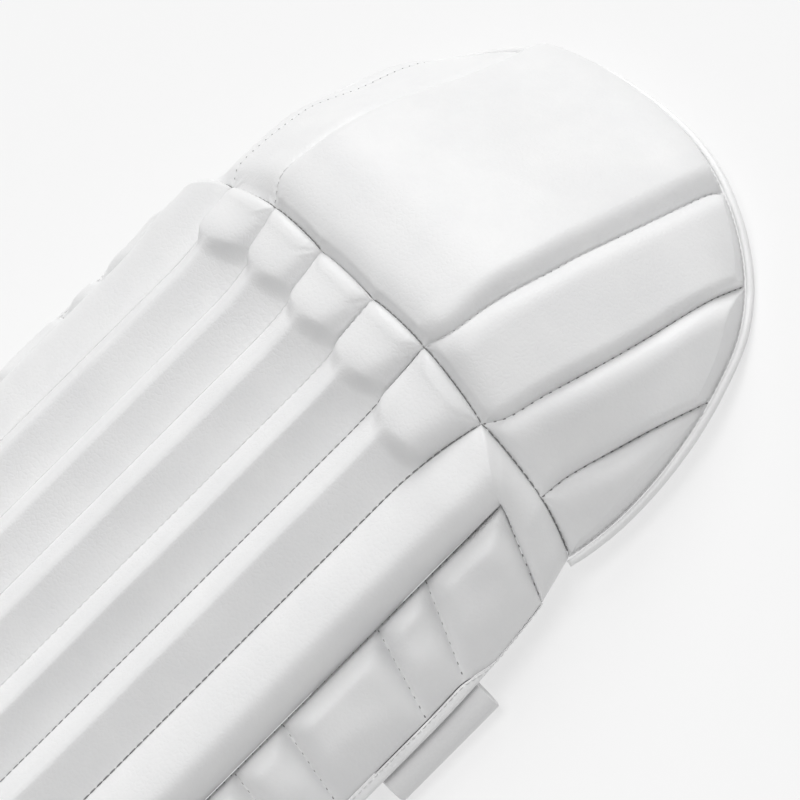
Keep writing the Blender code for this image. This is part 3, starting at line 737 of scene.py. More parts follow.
@dataclass
class Pad:
    """A closed padded piece: a crowned front and a plainer back round a net."""

    name: str
    net: Net
    front: Array
    back: Array
    cover: float = 0.0025
    back_columns: int = 9
    limit: Callable[[Array], Array] | None = None
    surface: Array = field(init=False)

    def __post_init__(self) -> None:
        """Works out the front surface."""
        self.surface = self.held(self.net.base + self.net.normals * self.front[..., None])

    def held(self, points: Array) -> Array:
        """Keeps points above the floor and inside the piece's limit."""
        if self.limit is not None:
            points = self.limit(points)
        points = points.copy()
        points[..., 2] = np.maximum(points[..., 2], 0.0)
        return points

    def surface_normals(self) -> Array:
        """The front surface's own normals."""
        across = np.gradient(self.surface, axis=1)
        down = np.gradient(self.surface, axis=0)
        normals = unit(np.cross(across, down))
        facing = np.sum(normals * self.net.normals, axis=-1, keepdims=True)
        return np.where(facing < 0, -normals, normals)

    def read(self, row: Array, column: Array) -> Line:
        """Reads points and normals of the front surface.

        Args:
            row: places along the rows, which may lie between two of them.
            column: places along the columns, as many.

        Returns:
            The line through them.
        """
        rows, columns = self.surface.shape[:2]
        row = np.clip(row, 0, rows - 1.001)
        column = np.clip(column, 0, columns - 1.001)
        i, j = row.astype(int), column.astype(int)
        a, b = (row - i)[:, None], (column - j)[:, None]

        def mix(grid: Array) -> Array:
            """Reads a grid between its four nearest places."""
            low = blend(grid[i, j], grid[i, j + 1], b)
            return blend(low, blend(grid[i + 1, j], grid[i + 1, j + 1], b), a)

        return Line(mix(self.surface), unit(mix(self.surface_normals())))

    def along_left(self, inside: float) -> Line:
        """The line on the front surface that keeps a distance from the left seam."""
        return self._beside(self.net.from_borders().left, inside)

    def along_right(self, inside: float) -> Line:
        """The line on the front surface that keeps a distance from the right seam."""
        return self._beside(self.net.from_borders().right, inside)

    def _beside(self, distances: Array, inside: float) -> Line:
        """Finds the column at a distance from a border in each row."""
        rows = np.arange(len(distances))
        columns = np.empty(len(rows))
        order = np.arange(distances.shape[1])
        for i in rows:
            line = distances[i]
            wanted = min(inside, line.max() / 2)
            if line[0] < line[-1]:
                columns[i] = np.interp(wanted, line, order)
            else:
                columns[i] = np.interp(wanted, line[::-1], order[::-1])
        return self.read(rows.astype(float), columns)

    def along_last(self, inside: float) -> Line:
        """The line on the front surface that keeps a distance from the last row."""
        last = self.net.from_borders().last
        order = np.arange(last.shape[0])
        rows = np.array([np.interp(inside, last[::-1, j], order[::-1]) for j in range(last.shape[1])])
        return self.read(rows, np.arange(last.shape[1]).astype(float))

    def build(self) -> bpy.types.Object:
        """Makes the mesh.

        Returns:
            The new object, which isn't dressed yet.
        """
        rows, columns = self.front.shape
        behind = np.unique(np.linspace(0, columns - 1, self.back_columns).round().astype(int))[::-1]
        depth = (self.cover + self.back[:, behind])[..., None]
        under = self.net.base[:, behind] - self.net.normals[:, behind] * depth
        rings = np.concatenate([self.surface, self.held(under)], axis=1)
        faces = ring_faces(rows, rings.shape[1])
        middle = (rows // 2, columns // 2)
        step = np.cross(
            self.surface[middle[0], middle[1] + 1] - self.surface[middle],
            self.surface[middle[0] + 1, middle[1]] - self.surface[middle],
        )
        if step @ self.net.normals[middle] < 0:
            faces = [face[::-1] for face in faces]
        return make_object(self.name, rings, faces)


def dress(piece: bpy.types.Object, finish: bpy.types.Material, slot: str, *nodes: str) -> bpy.types.Object:
    """Gives a new piece its finish, its body and the solids that it stands for.

    Args:
        piece: the new object.
        finish: its material.
        slot: the record's material slot; not used.
        nodes: names of the solids it replaces.

    Returns:
        The piece.
    """
    piece.data.materials.append(finish)
    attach(piece, "root")
    if nodes:
        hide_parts(*nodes)
    log.info("%s: %d faces", piece.name, len(piece.data.polygons))
    return piece


class Shader:
    """A small helper that adds nodes to a new material."""

    def __init__(self, name: str) -> None:
        """Starts a material with its surface shader.

        Args:
            name: the material's name.
        """
        self.material = bpy.data.materials.new(name)
        self.material.use_nodes = True
        self.tree = self.material.node_tree
        self.surface = self.tree.nodes["Principled BSDF"]
        self.place = self.tree.nodes.new("ShaderNodeTexCoord")

    def node(self, kind: str, **values: float | str) -> bpy.types.Node:
        """Adds a node.

        Args:
            kind: its Blender type.
            values: settings and socket values by name, with _ for a space.

        Returns:
            The node.
        """
        made = self.tree.nodes.new(kind)
        for key, value in values.items():
            title = key.replace("_", " ")
            if title in made.inputs:
                made.inputs[title].default_value = value
            else:
                setattr(made, key, value)
        return made

    def link(self, source: bpy.types.NodeSocket, target: bpy.types.NodeSocket) -> None:
        """Joins two sockets."""
        self.tree.links.new(source, target)

    def bump(self, height: bpy.types.NodeSocket, strength: float, distance: float) -> None:
        """Adds relief under what relief there is.

        Args:
            height: the socket that gives the height.
            strength: share of the relief that shows.
            distance: the relief's depth in metres.
        """
        made = self.node("ShaderNodeBump", Strength=strength, Distance=distance)
        self.link(height, made.inputs["Height"])
        old = self.surface.inputs["Normal"].links
        if old:
            self.link(old[0].from_socket, made.inputs["Normal"])
        self.link(made.outputs["Normal"], self.surface.inputs["Normal"])

    def texture(self, kind: str, **values: float | str) -> bpy.types.Node:
        """Adds a texture that lies in the piece's own coordinates."""
        made = self.node(kind, **values)
        self.link(self.place.outputs["Object"], made.inputs["Vector"])
        return made

    def tone(self, dark: Colour, light: Colour, share: bpy.types.NodeSocket) -> None:
        """Colours the surface between two tones.

        Args:
            dark: the tone at 0.
            light: the tone at 1.
            share: the socket that mixes them.
        """
        mix = self.node("ShaderNodeMix", data_type="RGBA")
        mix.inputs[6].default_value = dark
        mix.inputs[7].default_value = light
        self.link(share, mix.inputs[0])
        self.link(mix.outputs[2], self.surface.inputs["Base Color"])


@dataclass(frozen=True)
class CoatedLeather:
    """White leather with a smooth coat and a fine grain."""

    name: str = "white coated leather"
    light: Colour = (0.885, 0.885, 0.885, 1.0)
    dark: Colour = (0.845, 0.846, 0.850, 1.0)
    roughness: tuple[float, float] = (0.40, 0.56)
    clouds: float = 38.0  # duller patches in a metre
    grain: float = 1150.0  # grains in a metre
    pores: float = 420.0
    crease_relief: tuple[float, float] = (0.45, 0.00010)  # the share that shows, and the depth
    grain_relief: tuple[float, float] = (0.60, 0.00012)

    def make(self) -> bpy.types.Material:
        """Makes the material."""
        shader = Shader(self.name)
        cloud = shader.texture("ShaderNodeTexNoise", Scale=self.clouds, Detail=4.0, Roughness=0.6)
        spread = shader.node("ShaderNodeMapRange", From_Min=0.3, From_Max=0.7)
        shader.link(cloud.outputs["Fac"], spread.inputs["Value"])
        shader.tone(self.dark, self.light, spread.outputs["Result"])
        gloss = shader.node("ShaderNodeMapRange", To_Min=self.roughness[0], To_Max=self.roughness[1])
        fine = shader.texture("ShaderNodeTexNoise", Scale=self.grain, Detail=2.0, Roughness=0.5)
        shader.link(fine.outputs["Fac"], gloss.inputs["Value"])
        shader.link(gloss.outputs["Result"], shader.surface.inputs["Roughness"])
        cells = shader.texture("ShaderNodeTexVoronoi", Scale=self.pores, feature="DISTANCE_TO_EDGE")
        crease = shader.node("ShaderNodeMapRange", From_Max=0.25)
        shader.link(cells.outputs["Distance"], crease.inputs["Value"])
        shader.bump(crease.outputs["Result"], *self.crease_relief)
        shader.bump(fine.outputs["Fac"], *self.grain_relief)
        return shader.material


@dataclass(frozen=True)
class Thread:
    """Twisted white sewing thread."""

    name: str = "white sewing thread"
    light: Colour = (0.90, 0.90, 0.90, 1.0)
    dark: Colour = (0.74, 0.74, 0.74, 1.0)
    roughness: float = 0.75
    fineness: float = 2600.0  # specks in a metre
    relief: tuple[float, float] = (0.6, 0.0001)  # the share that shows, and the depth

    def make(self) -> bpy.types.Material:
        """Makes the material."""
        shader = Shader(self.name)
        twist = shader.texture("ShaderNodeTexNoise", Scale=self.fineness, Detail=1.0)
        shader.tone(self.dark, self.light, twist.outputs["Fac"])
        shader.surface.inputs["Roughness"].default_value = self.roughness
        shader.bump(twist.outputs["Fac"], *self.relief)
        return shader.material


@dataclass(frozen=True)
class NeedleHole:
    """Dark marks of painted shade beside the stitches, standing in for the shade inside the needle holes."""

    name: str = "needle hole"
    # these dark tones are painted shade, not a colour of the leather
    light: Colour = (0.36, 0.36, 0.36, 1.0)
    dark: Colour = (0.20, 0.20, 0.20, 1.0)
    roughness: float = 0.9
    fineness: float = 900.0  # specks in a metre

    def make(self) -> bpy.types.Material:
        """Makes the material."""
        shader = Shader(self.name)
        # painted shade, mottled by noise
        shade_speckle = shader.texture("ShaderNodeTexNoise", Scale=self.fineness)
        shader.tone(self.dark, self.light, shade_speckle.outputs["Fac"])
        shader.surface.inputs["Roughness"].default_value = self.roughness
        return shader.material


@dataclass(frozen=True)
class CoatedWebbing:
    """White strap with a smooth coat over a tight weave."""

    name: str = "white strap"
    light: Colour = (0.87, 0.87, 0.87, 1.0)
    dark: Colour = (0.80, 0.80, 0.805, 1.0)
    roughness: float = 0.7
    weave: float = 900.0  # threads in a metre
    relief: tuple[float, float] = (0.4, 0.0001)  # the share that shows, and the depth

    def make(self) -> bpy.types.Material:
        """Makes the material."""
        shader = Shader(self.name)
        fine = shader.texture("ShaderNodeTexNoise", Scale=self.weave, Detail=2.0)
        shader.tone(self.dark, self.light, fine.outputs["Fac"])
        shader.surface.inputs["Roughness"].default_value = self.roughness
        shader.bump(fine.outputs["Fac"], *self.relief)
        return shader.material


@dataclass(frozen=True)
class StudioFloor:
    """A pale sheet that is lit a little from below."""

    name: str = "pale studio floor"
    light: Colour = (0.355, 0.355, 0.355, 1.0)
    dark: Colour = (0.350, 0.350, 0.350, 1.0)
    clouds: float = 60.0  # patches in a metre
    glow: float = 0.595

    def make(self) -> bpy.types.Material:
        """Makes the material."""
        shader = Shader(self.name)
        paper = shader.texture("ShaderNodeTexNoise", Scale=self.clouds, Detail=3.0)
        shader.tone(self.dark, self.light, paper.outputs["Fac"])
        shader.surface.inputs["Roughness"].default_value = 1.0
        shader.surface.inputs["Specular IOR Level"].default_value = 0.0
        shader.surface.inputs["Emission Color"].default_value = (1.0, 1.0, 1.0, 1.0)
        shader.surface.inputs["Emission Strength"].default_value = self.glow
        return shader.material


@dataclass
class Finishes:
    """The guard's materials, made once."""

    cover: bpy.types.Material = field(default_factory=lambda: CoatedLeather().make())
    piping: bpy.types.Material = field(
        default_factory=lambda: CoatedLeather(
            "white piping leather", (0.93, 0.93, 0.93, 1.0), (0.90, 0.90, 0.90, 1.0), (0.36, 0.48)
        ).make()
    )
    thread: bpy.types.Material = field(default_factory=lambda: Thread().make())
    # painted shade for the dark marks in the needle holes and seam slits
    hole: bpy.types.Material = field(default_factory=lambda: NeedleHole().make())
    strap: bpy.types.Material = field(default_factory=lambda: CoatedWebbing().make())


@dataclass
class ShinRolls:
    """The five straight rolls down the front of the shin, each with a raised knob at the knee."""

    finishes: Finishes
    crown: float = 0.0105
    back: float = 0.005
    # Where each roll's ridge lies, as a share of its width from its left seam
    ridge_places: tuple[float, ...] = (0.50, 0.49, 0.48, 0.47, 0.43)
    ridge_softness: float = 0.045  # how round the ridge is, as a share of the crown
    rise_power: float = 0.92  # above 1 a flank is hollow, and below 1 it is full
    fall_power: float = 1.10
    stub_crown: float = 0.0150
    stub_length: float = 0.031
    stub_fade: float = 0.010
    stub_swell: float = 0.42  # share of its crown that the knob gains towards its lower end
    stub_rise: float = 0.0050  # length over which the knob rises from the knee seam
    stub_rounding: float = 0.17  # how much shorter the knob is beside its seams
    stub_power: float = 2.3
    stub_drape: float = 0.60
    ankle_shoulder: float = 0.012
    uneven: Unevenness = Unevenness(0.035, 0.05, 11)
    gap: float = 0.0002  # the rolls' covers nearly touch
    columns: int = 41
    knob_end: float = 0.055  # distance below the knee seam where the close rows end
    middle_end: float = 0.250
    row_counts: tuple[int, int, int] = (90, 130, 60)
    row_power: float = 1.35  # how much closer the rows stand at the knee seam
    pads: list[Pad] = field(default_factory=list)

    def rows(self, length: float) -> Array:
        """Distances below the knee seam, closer together near the knob."""
        half = SEAMS.gap / 2
        close, even, low = self.row_counts
        knob = half + np.linspace(0, 1, close) ** self.row_power * (self.knob_end - half)
        middle = np.linspace(self.knob_end, self.middle_end, even)[1:]
        slowing = np.sin(np.linspace(0, math.pi / 2, low))[1:]
        rest = self.middle_end + (length - half - self.middle_end) * slowing
        return np.concatenate([knob, middle, rest])

    def ridge(self, t: Array, place: float) -> Array:
        """A roll's section as a share of its crown: two flanks that meet in a soft ridge.

        Args:
            t: shares across the roll from its left seam.
            place: where the ridge lies, as such a share.

        Returns:
            Heights as shares.
        """
        left = (t / place) ** self.rise_power
        right = ((1 - t) / (1 - place)) ** self.fall_power
        return soft_lower(left, right, self.ridge_softness)

    def line(self, name: str, count_like: Array) -> Line:
        """A seam line at rows that are shared by seams of different lengths."""
        length = SEAMS.seam_length(name)
        longest = SEAMS.roll_length
        start = self.knob_end
        scaled = start + (count_like - start) * (length - start) / (longest - start)
        return SEAMS.shin_line(name, np.where(count_like < start, count_like, scaled))

    def build(self) -> None:
        """Builds and dresses the rolls."""
        below = self.rows(SEAMS.roll_length)
        lines = [self.line(name, below) for name in ("side", "front", "middle")]
        seams = [line.mirrored() for line in lines] + lines[::-1]
        across = crowded(self.columns, 0.8)
        for number, share in enumerate(STUB_SHARES):
            net = Net.between(seams[number], seams[number + 1], across, self.gap).bowed()
            places = net.from_borders()
            t = places.across
            end = share * self.stub_length * (1 - self.stub_rounding * (2 * t - 1) ** 2)
            knob = 1 - smooth((places.first - end + self.stub_fade / 2) / self.stub_fade)
            ankle = self.ankle_shoulder
            roll = Filling(self.crown, WHOLE, WHOLE, self.stub_rise, ankle)
            stub = Filling(
                self.stub_crown, WHOLE, WHOLE, self.stub_rise, ankle, self.stub_power, self.stub_drape
            )
            low = self.crown * self.ridge(t, self.ridge_places[number]) * roll.edge(places.last, ankle)
            swell = 1 - self.stub_swell * (1 - smooth(1.2 * places.first / end))
            front = blend(low, stub.heights(places) * swell, knob) * self.uneven.factor(net.base, number)
            front = front + puckers(net) + gathers(net.base)
            behind = Filling(self.back, WHOLE, WHOLE, ankle, ankle, 2.0, 0.6)
            pad = Pad(f"shin_roll_{number + 1}_padding", net, front, behind.heights(places))
            piece = dress(pad.build(), self.finishes.cover, "cover", f"shin_roll_{number + 1}")
            self.pads.append(pad)


@dataclass
class SideRolls:
    """The fat smooth roll on each side, which turns out along the knee seam at its top."""

    finishes: Finishes
    crown: float = 0.0152
    arm_crown: float = 0.0085
    top_place: float = 0.66  # share of the roll's width where its section is highest
    top_softness: float = 0.26
    rise_power: float = 0.88
    fall_power: float = 0.42
    back: float = 0.005
    columns: int = 57
    shoulder: float = 0.012
    uneven: Unevenness = Unevenness(0.03, 0.07, 31)
    low_share: float = 0.45  # share of the roll, from the ankle, whose sections stand further apart
    sections: tuple[int, int, int, int] = (50, 190, 50, 80)  # low, high, round the turn and on the arm
    arm_start: float = 0.45  # share of the arm over which the roll's own section runs out
    pads: dict[Side, Pad] = field(default_factory=dict)

    def section(self, t: Array) -> Array:
        """The roll's section as a share of its crown: a long rise, a soft top and a full outer side.

        Args:
            t: shares across the roll from the shin side.

        Returns:
            Heights as shares.
        """
        rise = (t / self.top_place) ** self.rise_power
        fall = ((1 - t) / (1 - self.top_place)) ** self.fall_power
        return soft_lower(rise, fall, self.top_softness)

    def lines(self) -> tuple[Line, Line, Array]:
        """The roll's two edges on the right side.

        Returns:
            The edge along the shin and the knee seam, the edge along the wing, and each section's
            share of the way round the turn.
        """
        seams = SEAMS
        wing_start = seams.shin_point("wing", 0.0)[0, 1]
        top_y = wing_start - seams.knee_blend / 3
        end_y = seams.knee_y - seams.roll_length
        side_end = seams.shin_point("side", seams.seam_length("side"))[0, 1]
        low, high, round_turn, on_arm = self.sections
        far_apart = np.linspace(0, self.low_share, low)[:-1]
        share = np.concatenate([far_apart, np.linspace(self.low_share, 1, high)])
        side_start = seams.shin_point("side", 0.0)[0, 1]
        outer_y = side_end + share * (top_y - side_end)
        outer_a = seams.shin_line("side", side_start - outer_y)
        inner_a = seams.wing_seam(seams.knee_y - (end_y + share * (top_y - end_y)))
        turn = np.linspace(0, 1, round_turn)[1:]
        outer_y = top_y + turn * (side_start - seams.gap / 2 - top_y)
        outer_b = seams.shin_line("side", side_start - outer_y)
        top_level = seams.knee_y - top_y
        inner_b = seams.wing_seam(top_level + turn * (seams.corner_drop - top_level))
        steps = np.array(ARM_STEPS)
        knee = np.linspace(0, steps[-1, 0], on_arm)[1:]
        lower = curve_through(steps[:, 0], steps[:, 1:], knee)[:, 0]
        row = seams.knee_row()
        first = np.where(knee <= 1, 2, 3)
        local = (knee - (first - 2))[:, None]
        following = Line(row.points[first + 1], row.normals[first + 1])
        outer_c = Line(row.points[first], row.normals[first]).towards(following, local)
        outer_c.points[:, 1] += seams.bow(outer_c.points[:, 0]) - seams.gap / 2
        upper, outside = seams.cell_levels()[0]
        wing_edge = seams.wing_edge(outside, seams.binding_reach(outside))
        inner_c = seams.wing_seam(upper).towards(wing_edge, lower[:, None])
        outer = Line.joined(outer_a, outer_b, outer_c)
        inner = Line.joined(inner_a, inner_b, inner_c)
        place = np.arange(len(outer.points)) - len(share)
        return outer, inner, smooth(place / (len(turn) + len(knee) * self.arm_start))

    def build(self) -> None:
        """Builds and dresses both rolls."""
        outer, inner, turned = self.lines()
        net = Net.between(outer, inner, crowded(self.columns, 0.8))
        places = net.from_borders()
        end = self.shoulder
        ends = Filling(self.crown, WHOLE, WHOLE, end, end, 2.15, 0.6)
        leaning = self.crown * self.section(places.across) * ends.edge(places.first, end)
        arm = Filling(self.arm_crown, WHOLE, WHOLE, end, end, 2.2, 0.62)
        even = blend(leaning, arm.heights(places), turned[:, None])
        behind = Filling(self.back, WHOLE, WHOLE, end, end, 2.0, 0.6).heights(places)
        for side in Side:
            front = even * self.uneven.factor(net.base, side.value)
            name = f"side_roll_{side.word}"
            pad = Pad(f"{name}_padding", side.turned(net), front, behind, back_columns=11)
            dress(pad.build(), self.finishes.cover, "cover", name)
            self.pads[side] = pad


@dataclass
class Wings:
    """The quilted wing on each side, parted into long and short cells by cross seams."""

    finishes: Finishes
    crown: float = 0.0112
    back: float = 0.003
    bar_shoulder: float = 0.012
    inner_shoulder: float = 0.011
    outer_shoulder: float = 0.028
    lean: float = 0.40  # share of its height that a cell loses towards the outer edge
    uneven: Unevenness = Unevenness(0.08, 0.03, 51)
    columns: int = 41
    row_step: float = 0.0012
    least_rows: int = 16  # in a short cell
    pads: dict[Side, Pad] = field(default_factory=dict)
    cell_rows: list[int] = field(default_factory=list)

    def build(self) -> None:
        """Builds and dresses both wings."""
        levels = SEAMS.cell_levels()
        starts, ends, within = [], [], []
        for upper, lower in zip(levels, levels[1:]):
            count = max(int((lower[0] - upper[0]) / self.row_step), self.least_rows)
            shares = crowded(count, 0.6)
            shares = shares if upper is levels[0] else shares[1:]
            self.cell_rows.append(sum(len(s) for s in within) - 1 if within else 0)
            starts.append(upper[0] + shares * (lower[0] - upper[0]))
            ends.append(upper[1] + shares * (lower[1] - upper[1]))
            within.append(np.stack([shares, 1 - shares], axis=-1) * (lower[0] - upper[0]))
        half = SEAMS.gap / 2
        start, end = np.concatenate(starts), np.concatenate(ends)
        start[0], end[0] = start[0] + half, end[0] + half
        start[-1], end[-1] = start[-1] - half, end[-1] - half
        cell = np.concatenate(within)
        edge = SEAMS.wing_edge(end, SEAMS.binding_reach(end))
        net = Net.between(SEAMS.wing_seam(start), edge, crowded(self.columns, 0.8))
        places = net.from_borders()
        upper, lower = (np.repeat(cell[:, k : k + 1], self.columns, axis=1) for k in range(2))
        bars = places._replace(first=upper, last=lower)
        bar = self.bar_shoulder
        filling = Filling(self.crown, self.inner_shoulder, self.outer_shoulder, bar, bar, 2.1, 0.8)
        lean = 1 - self.lean * places.left / (places.left + places.right)
        behind = Filling(self.back, WHOLE, WHOLE, bar, bar, 2.0, 0.7).heights(bars)
        for side in Side:
            uneven = self.uneven.factor(net.base, side.value)
            name = f"wing_{side.word}"
            front = filling.heights(bars) * lean * uneven + puckers(net)
            pad = Pad(f"{name}_padding", side.turned(net), front, behind)
            dress(pad.build(), self.finishes.cover, "cover", name)
            self.pads[side] = pad


@dataclass
class Hat:
    """The rounded hat over the knee: a wide centre panel and three narrower ones on each side."""

    finishes: Finishes
    crown: float = 0.0092
    left_crown: float = 0.0038  # the left panels are flatter and fall away to their outer seams
    left_lean: float = 0.9
    left_rim_shoulder: float = 0.030
    back: float = 0.004
    side_shoulder: float = 0.014
    outer_shoulder: float = 0.0075
    knee_shoulder: float = 0.007
    knee_rise: float = 0.50  # share of the crown that is reached only further up
    knee_run: float = 0.045
    rim_shoulder: float = 0.014
    centre_shoulder: float = 0.011
    knee_edge: float = 0.001  # the cover's own bend at the knee seam
    uneven: Unevenness = Unevenness(0.03, 0.06, 71)
    gap: float = 0.00008  # the panels' covers touch
    rows: int = 190
    end_clearance: float = 0.0015  # share of its length that a panel stays clear of either end
    pads: dict[str, Pad] = field(default_factory=dict)

    def inside_rim(self, points: Array) -> Array:
        """Keeps the padding from swelling out over the piping."""
        inset = SEAMS.piping_diameter + SEAMS.gap
        middle = SEAMS.knee_y + SEAMS.hat_base
        x = points[..., 0] / (SEAMS.hat_half_width - inset)
        y = (points[..., 1] - middle) / (SEAMS.hat_arch - inset)
        reach = np.maximum(SEAMS.rim_reach(x, y), 1.0)
        held = points.copy()
        held[..., 0] = points[..., 0] / reach
        held[..., 1] = middle + (points[..., 1] - middle) / reach
        return held

    def arched(self, net: Net, angles: tuple[float, float], across: Array, share: Array) -> Net:
        """Bends a panel's far end along the rim.

        Args:
            net: the panel's net between its seams.
            angles: the rim's angles at the two seams.
            across: the net's shares across.
            share: the net's shares along.

        Returns:
            The bent net.
        """
        angle = angles[0] + across * (angles[1] - angles[0])
        arch = SEAMS.rim_point(angle)
        shift = (arch - net.base[-1])[None] * (share**2)[:, None, None]
        high = SEAMS.near_rim(share)[:, None, None]
        return Net(net.base + shift, unit(blend(net.normals, SEAMS.rim_normal(angle)[None], high)))

    def panel(self, name: str, net: Net, number: int, shoulder: float) -> None:
        """Builds and dresses a panel.

        Args:
            name: the solid that it stands for.
            net: its net.
            number: picks its unevenness.
            shoulder: width of the rounding beside its seams.
        """
        net = net.bowed()
        places = net.from_borders()
        left = "left" in name
        crown = self.left_crown if left else self.crown
        rim = self.left_rim_shoulder if left else self.rim_shoulder
        right = shoulder if "centre" in name else self.outer_shoulder
        filling = Filling(crown, shoulder, right, self.knee_edge, rim, 2.2, 0.85)
        start = filling.edge(places.first, self.knee_shoulder) * (1 - self.knee_rise)
        start = start + self.knee_rise * smooth(places.first / self.knee_run)
        behind = Filling(self.back, WHOLE, WHOLE, self.knee_shoulder, self.rim_shoulder, 2.0, 0.6)
        lean = {"inner": 0.30, "middle": 0.30, "outer": 0.15}.get(name.rsplit("_", 1)[-1], 0.0)
        lean = self.left_lean if left else lean
        uneven = self.uneven.factor(net.base, number)
        front = filling.heights(places) * start * uneven * (1 - lean * places.across)
        front = front + puckers(net) + gathers(net.base)
        pad = Pad(f"{name}_padding", net, front, behind.heights(places), limit=self.inside_rim)
        dress(pad.build(), self.finishes.cover, "cover", name)
        self.pads[name] = pad

    def build(self) -> None:
        """Builds the panels."""
        share = crowded(self.rows, 0.5)
        share[0], share[-1] = self.end_clearance, 1 - self.end_clearance
        line = {name: SEAMS.hat_line(name, share) for name in HAT_ORDER}
        angle = {name: math.radians(value) for name, value in RIM_ANGLES_DEG.items()}
        wide, narrow = crowded(111, 0.7), crowded(45, 0.8)
        centre = Net.between(line["front"].mirrored(), line["front"], wide, self.gap)
        centre = self.arched(centre, (math.pi - angle["front"], angle["front"]), wide, share)
        self.panel("hat_panel_centre", centre, 0, self.centre_shoulder)
        rim = SEAMS.rim_side_angle(share)
        beside_rim = Line(SEAMS.rim_point(rim), SEAMS.rim_normal(rim))
        inner = Net.between(line["front"], line["side"], narrow, self.gap)
        middle = Net.between(line["side"], line["outer"], narrow, self.gap)
        nets = {
            "inner": self.arched(inner, (angle["front"], angle["side"]), narrow, share),
            "middle": self.arched(middle, (angle["side"], angle["outer"]), narrow, share),
            "outer": Net.between(line["outer"], beside_rim, narrow, self.gap),
        }
        for number, (place, net) in enumerate(nets.items()):
            self.panel(f"hat_panel_right_{place}", net, 10 + number, self.side_shoulder)
            self.panel(f"hat_panel_left_{place}", net.mirrored(), 20 + number, self.side_shoulder)


def tube_mesh(name: str, points: Array, radius: Array, sides: int = 14) -> bpy.types.Object:
    """A round cord through points, with closed ends.

    Args:
        name: the object's name.
        points: the cord's middle line.
        radius: its radius at each point.
        sides: how many sides a section has.

    Returns:
        The new object.
    """
    along = unit(np.gradient(points, axis=0))
    up = np.array([0.0, 0.0, 1.0])
    aside = unit(np.cross(along, up))
    lift = np.cross(aside, along)
    angle = np.linspace(0, 2 * math.pi, sides, endpoint=False)
    ring = np.cos(angle)[None, :, None] * aside[:, None] + np.sin(angle)[None, :, None] * lift[:, None]
    places = points[:, None] + ring * radius[:, None, None]
    return make_object(name, places, ring_faces(len(points), sides, other_way=True))


@dataclass
class Piping:
    """The piping round the hat's rim and along the ankle end."""

    finishes: Finishes
    steps: int = 420
    ankle_steps: int = 160
    ankle_drop: float = 0.00125  # from the seams' ends down to its middle line
    uneven: Unevenness = Unevenness(0.03, 0.012, 5)
    tuck: float = 0.0012  # how far its ends run in under the side rolls' arms
    rim_cords: tuple[tuple[str, float, float, float], ...] = (
        ("hat_rim_piping", 0.0025, 0.0007, 0.0016),
        ("hat_rim_welt", 0.0010, -0.0006, 0.0010),
    )  # each cord's name, distance inside the rim, height over it and radius

    def build(self) -> None:
        """Builds and dresses both."""
        seams = SEAMS
        radius = seams.piping_diameter / 2
        tuck = self.tuck / seams.hat_half_width
        angle = np.linspace(seams.rim_end - tuck, math.pi - seams.rim_end + tuck, self.steps)
        along = np.minimum(np.arange(self.steps), np.arange(self.steps)[::-1]) / 9
        taper = 0.75 + 0.25 * smooth(along)
        for name, inset, lift, thick in self.rim_cords:
            points = seams.rim_point(angle, inset) + seams.rim_normal(angle) * lift
            points[:, 2] = np.maximum(points[:, 2], thick)
            piece = tube_mesh(name, points, thick * taper * self.uneven.factor(points, 0), 18)
            dress(piece, self.finishes.piping, "piping", "hat_piping")
        right = [seams.shin_point(name, seams.seam_length(name))[0] for name in LINE_ORDER[:4]]
        row = np.array([point * MIRROR for point in right[::-1]] + right)
        row += np.array([0.0, -radius - 2 * seams.gap, -self.ankle_drop])
        line = read_rows(np.linspace(0, len(row) - 1, self.ankle_steps), np.arange(len(row)), row)
        piece = tube_mesh("ankle_piping", line, radius * self.uneven.factor(line, 1), 14)
        dress(piece, self.finishes.piping, "piping", "instep_piping")


@dataclass
class Bindings:
    """The flat stitched bindings on the wings' outer edges."""

    finishes: Finishes
    crown: float = 0.0007
    uneven: Unevenness = Unevenness(0.2, 0.009, 61)
    pads: dict[Side, Pad] = field(default_factory=dict)

    def build(self) -> None:
        """Builds and dresses both bindings."""
        start, end = SEAMS.cell_levels()[0][1], SEAMS.roll_length
        level = start + (end - start) * np.linspace(0, 1, 420) ** 1.1
        left, right = SEAMS.wing_edge(level, SEAMS.binding_reach(level)), SEAMS.wing_edge(level, 0.0)
        net = Net.between(left, right, crowded(13, 0.9))
        places = net.from_borders()
        filling = Filling(self.crown, WHOLE, WHOLE, 0.002, 0.002, 3.0, 0.5)
        for side in Side:
            front = filling.heights(places) * self.uneven.factor(net.base, side.value)
            pad = Pad(f"binding_{side.word}", side.turned(net), front, front * 0, back_columns=5)
            dress(pad.build(), self.finishes.cover, "cover", f"wing_binding_{side.word}")
            self.pads[side] = pad


@dataclass(frozen=True)
class Strap:
    """A strap: its piece, the solid that it stands for, and its place and width."""

    piece: str
    node: str
    drop: float  # from the knee seam to its middle
    width: float

    def wing(self) -> tuple[Array, Array, Array]:
        """The wing at the strap's lower edge: its seam, its outer edge and the way out of its back."""
        lowest = self.drop + self.width / 2
        edge = SEAMS.level_point("edge", SEAMS.knee_y - lowest)[0]
        inner = SEAMS.wing_seam(lowest).points[0]
        outward = unit(edge - inner)
        return inner, edge, unit(np.array([outward[2], 0.0, -outward[0]]))


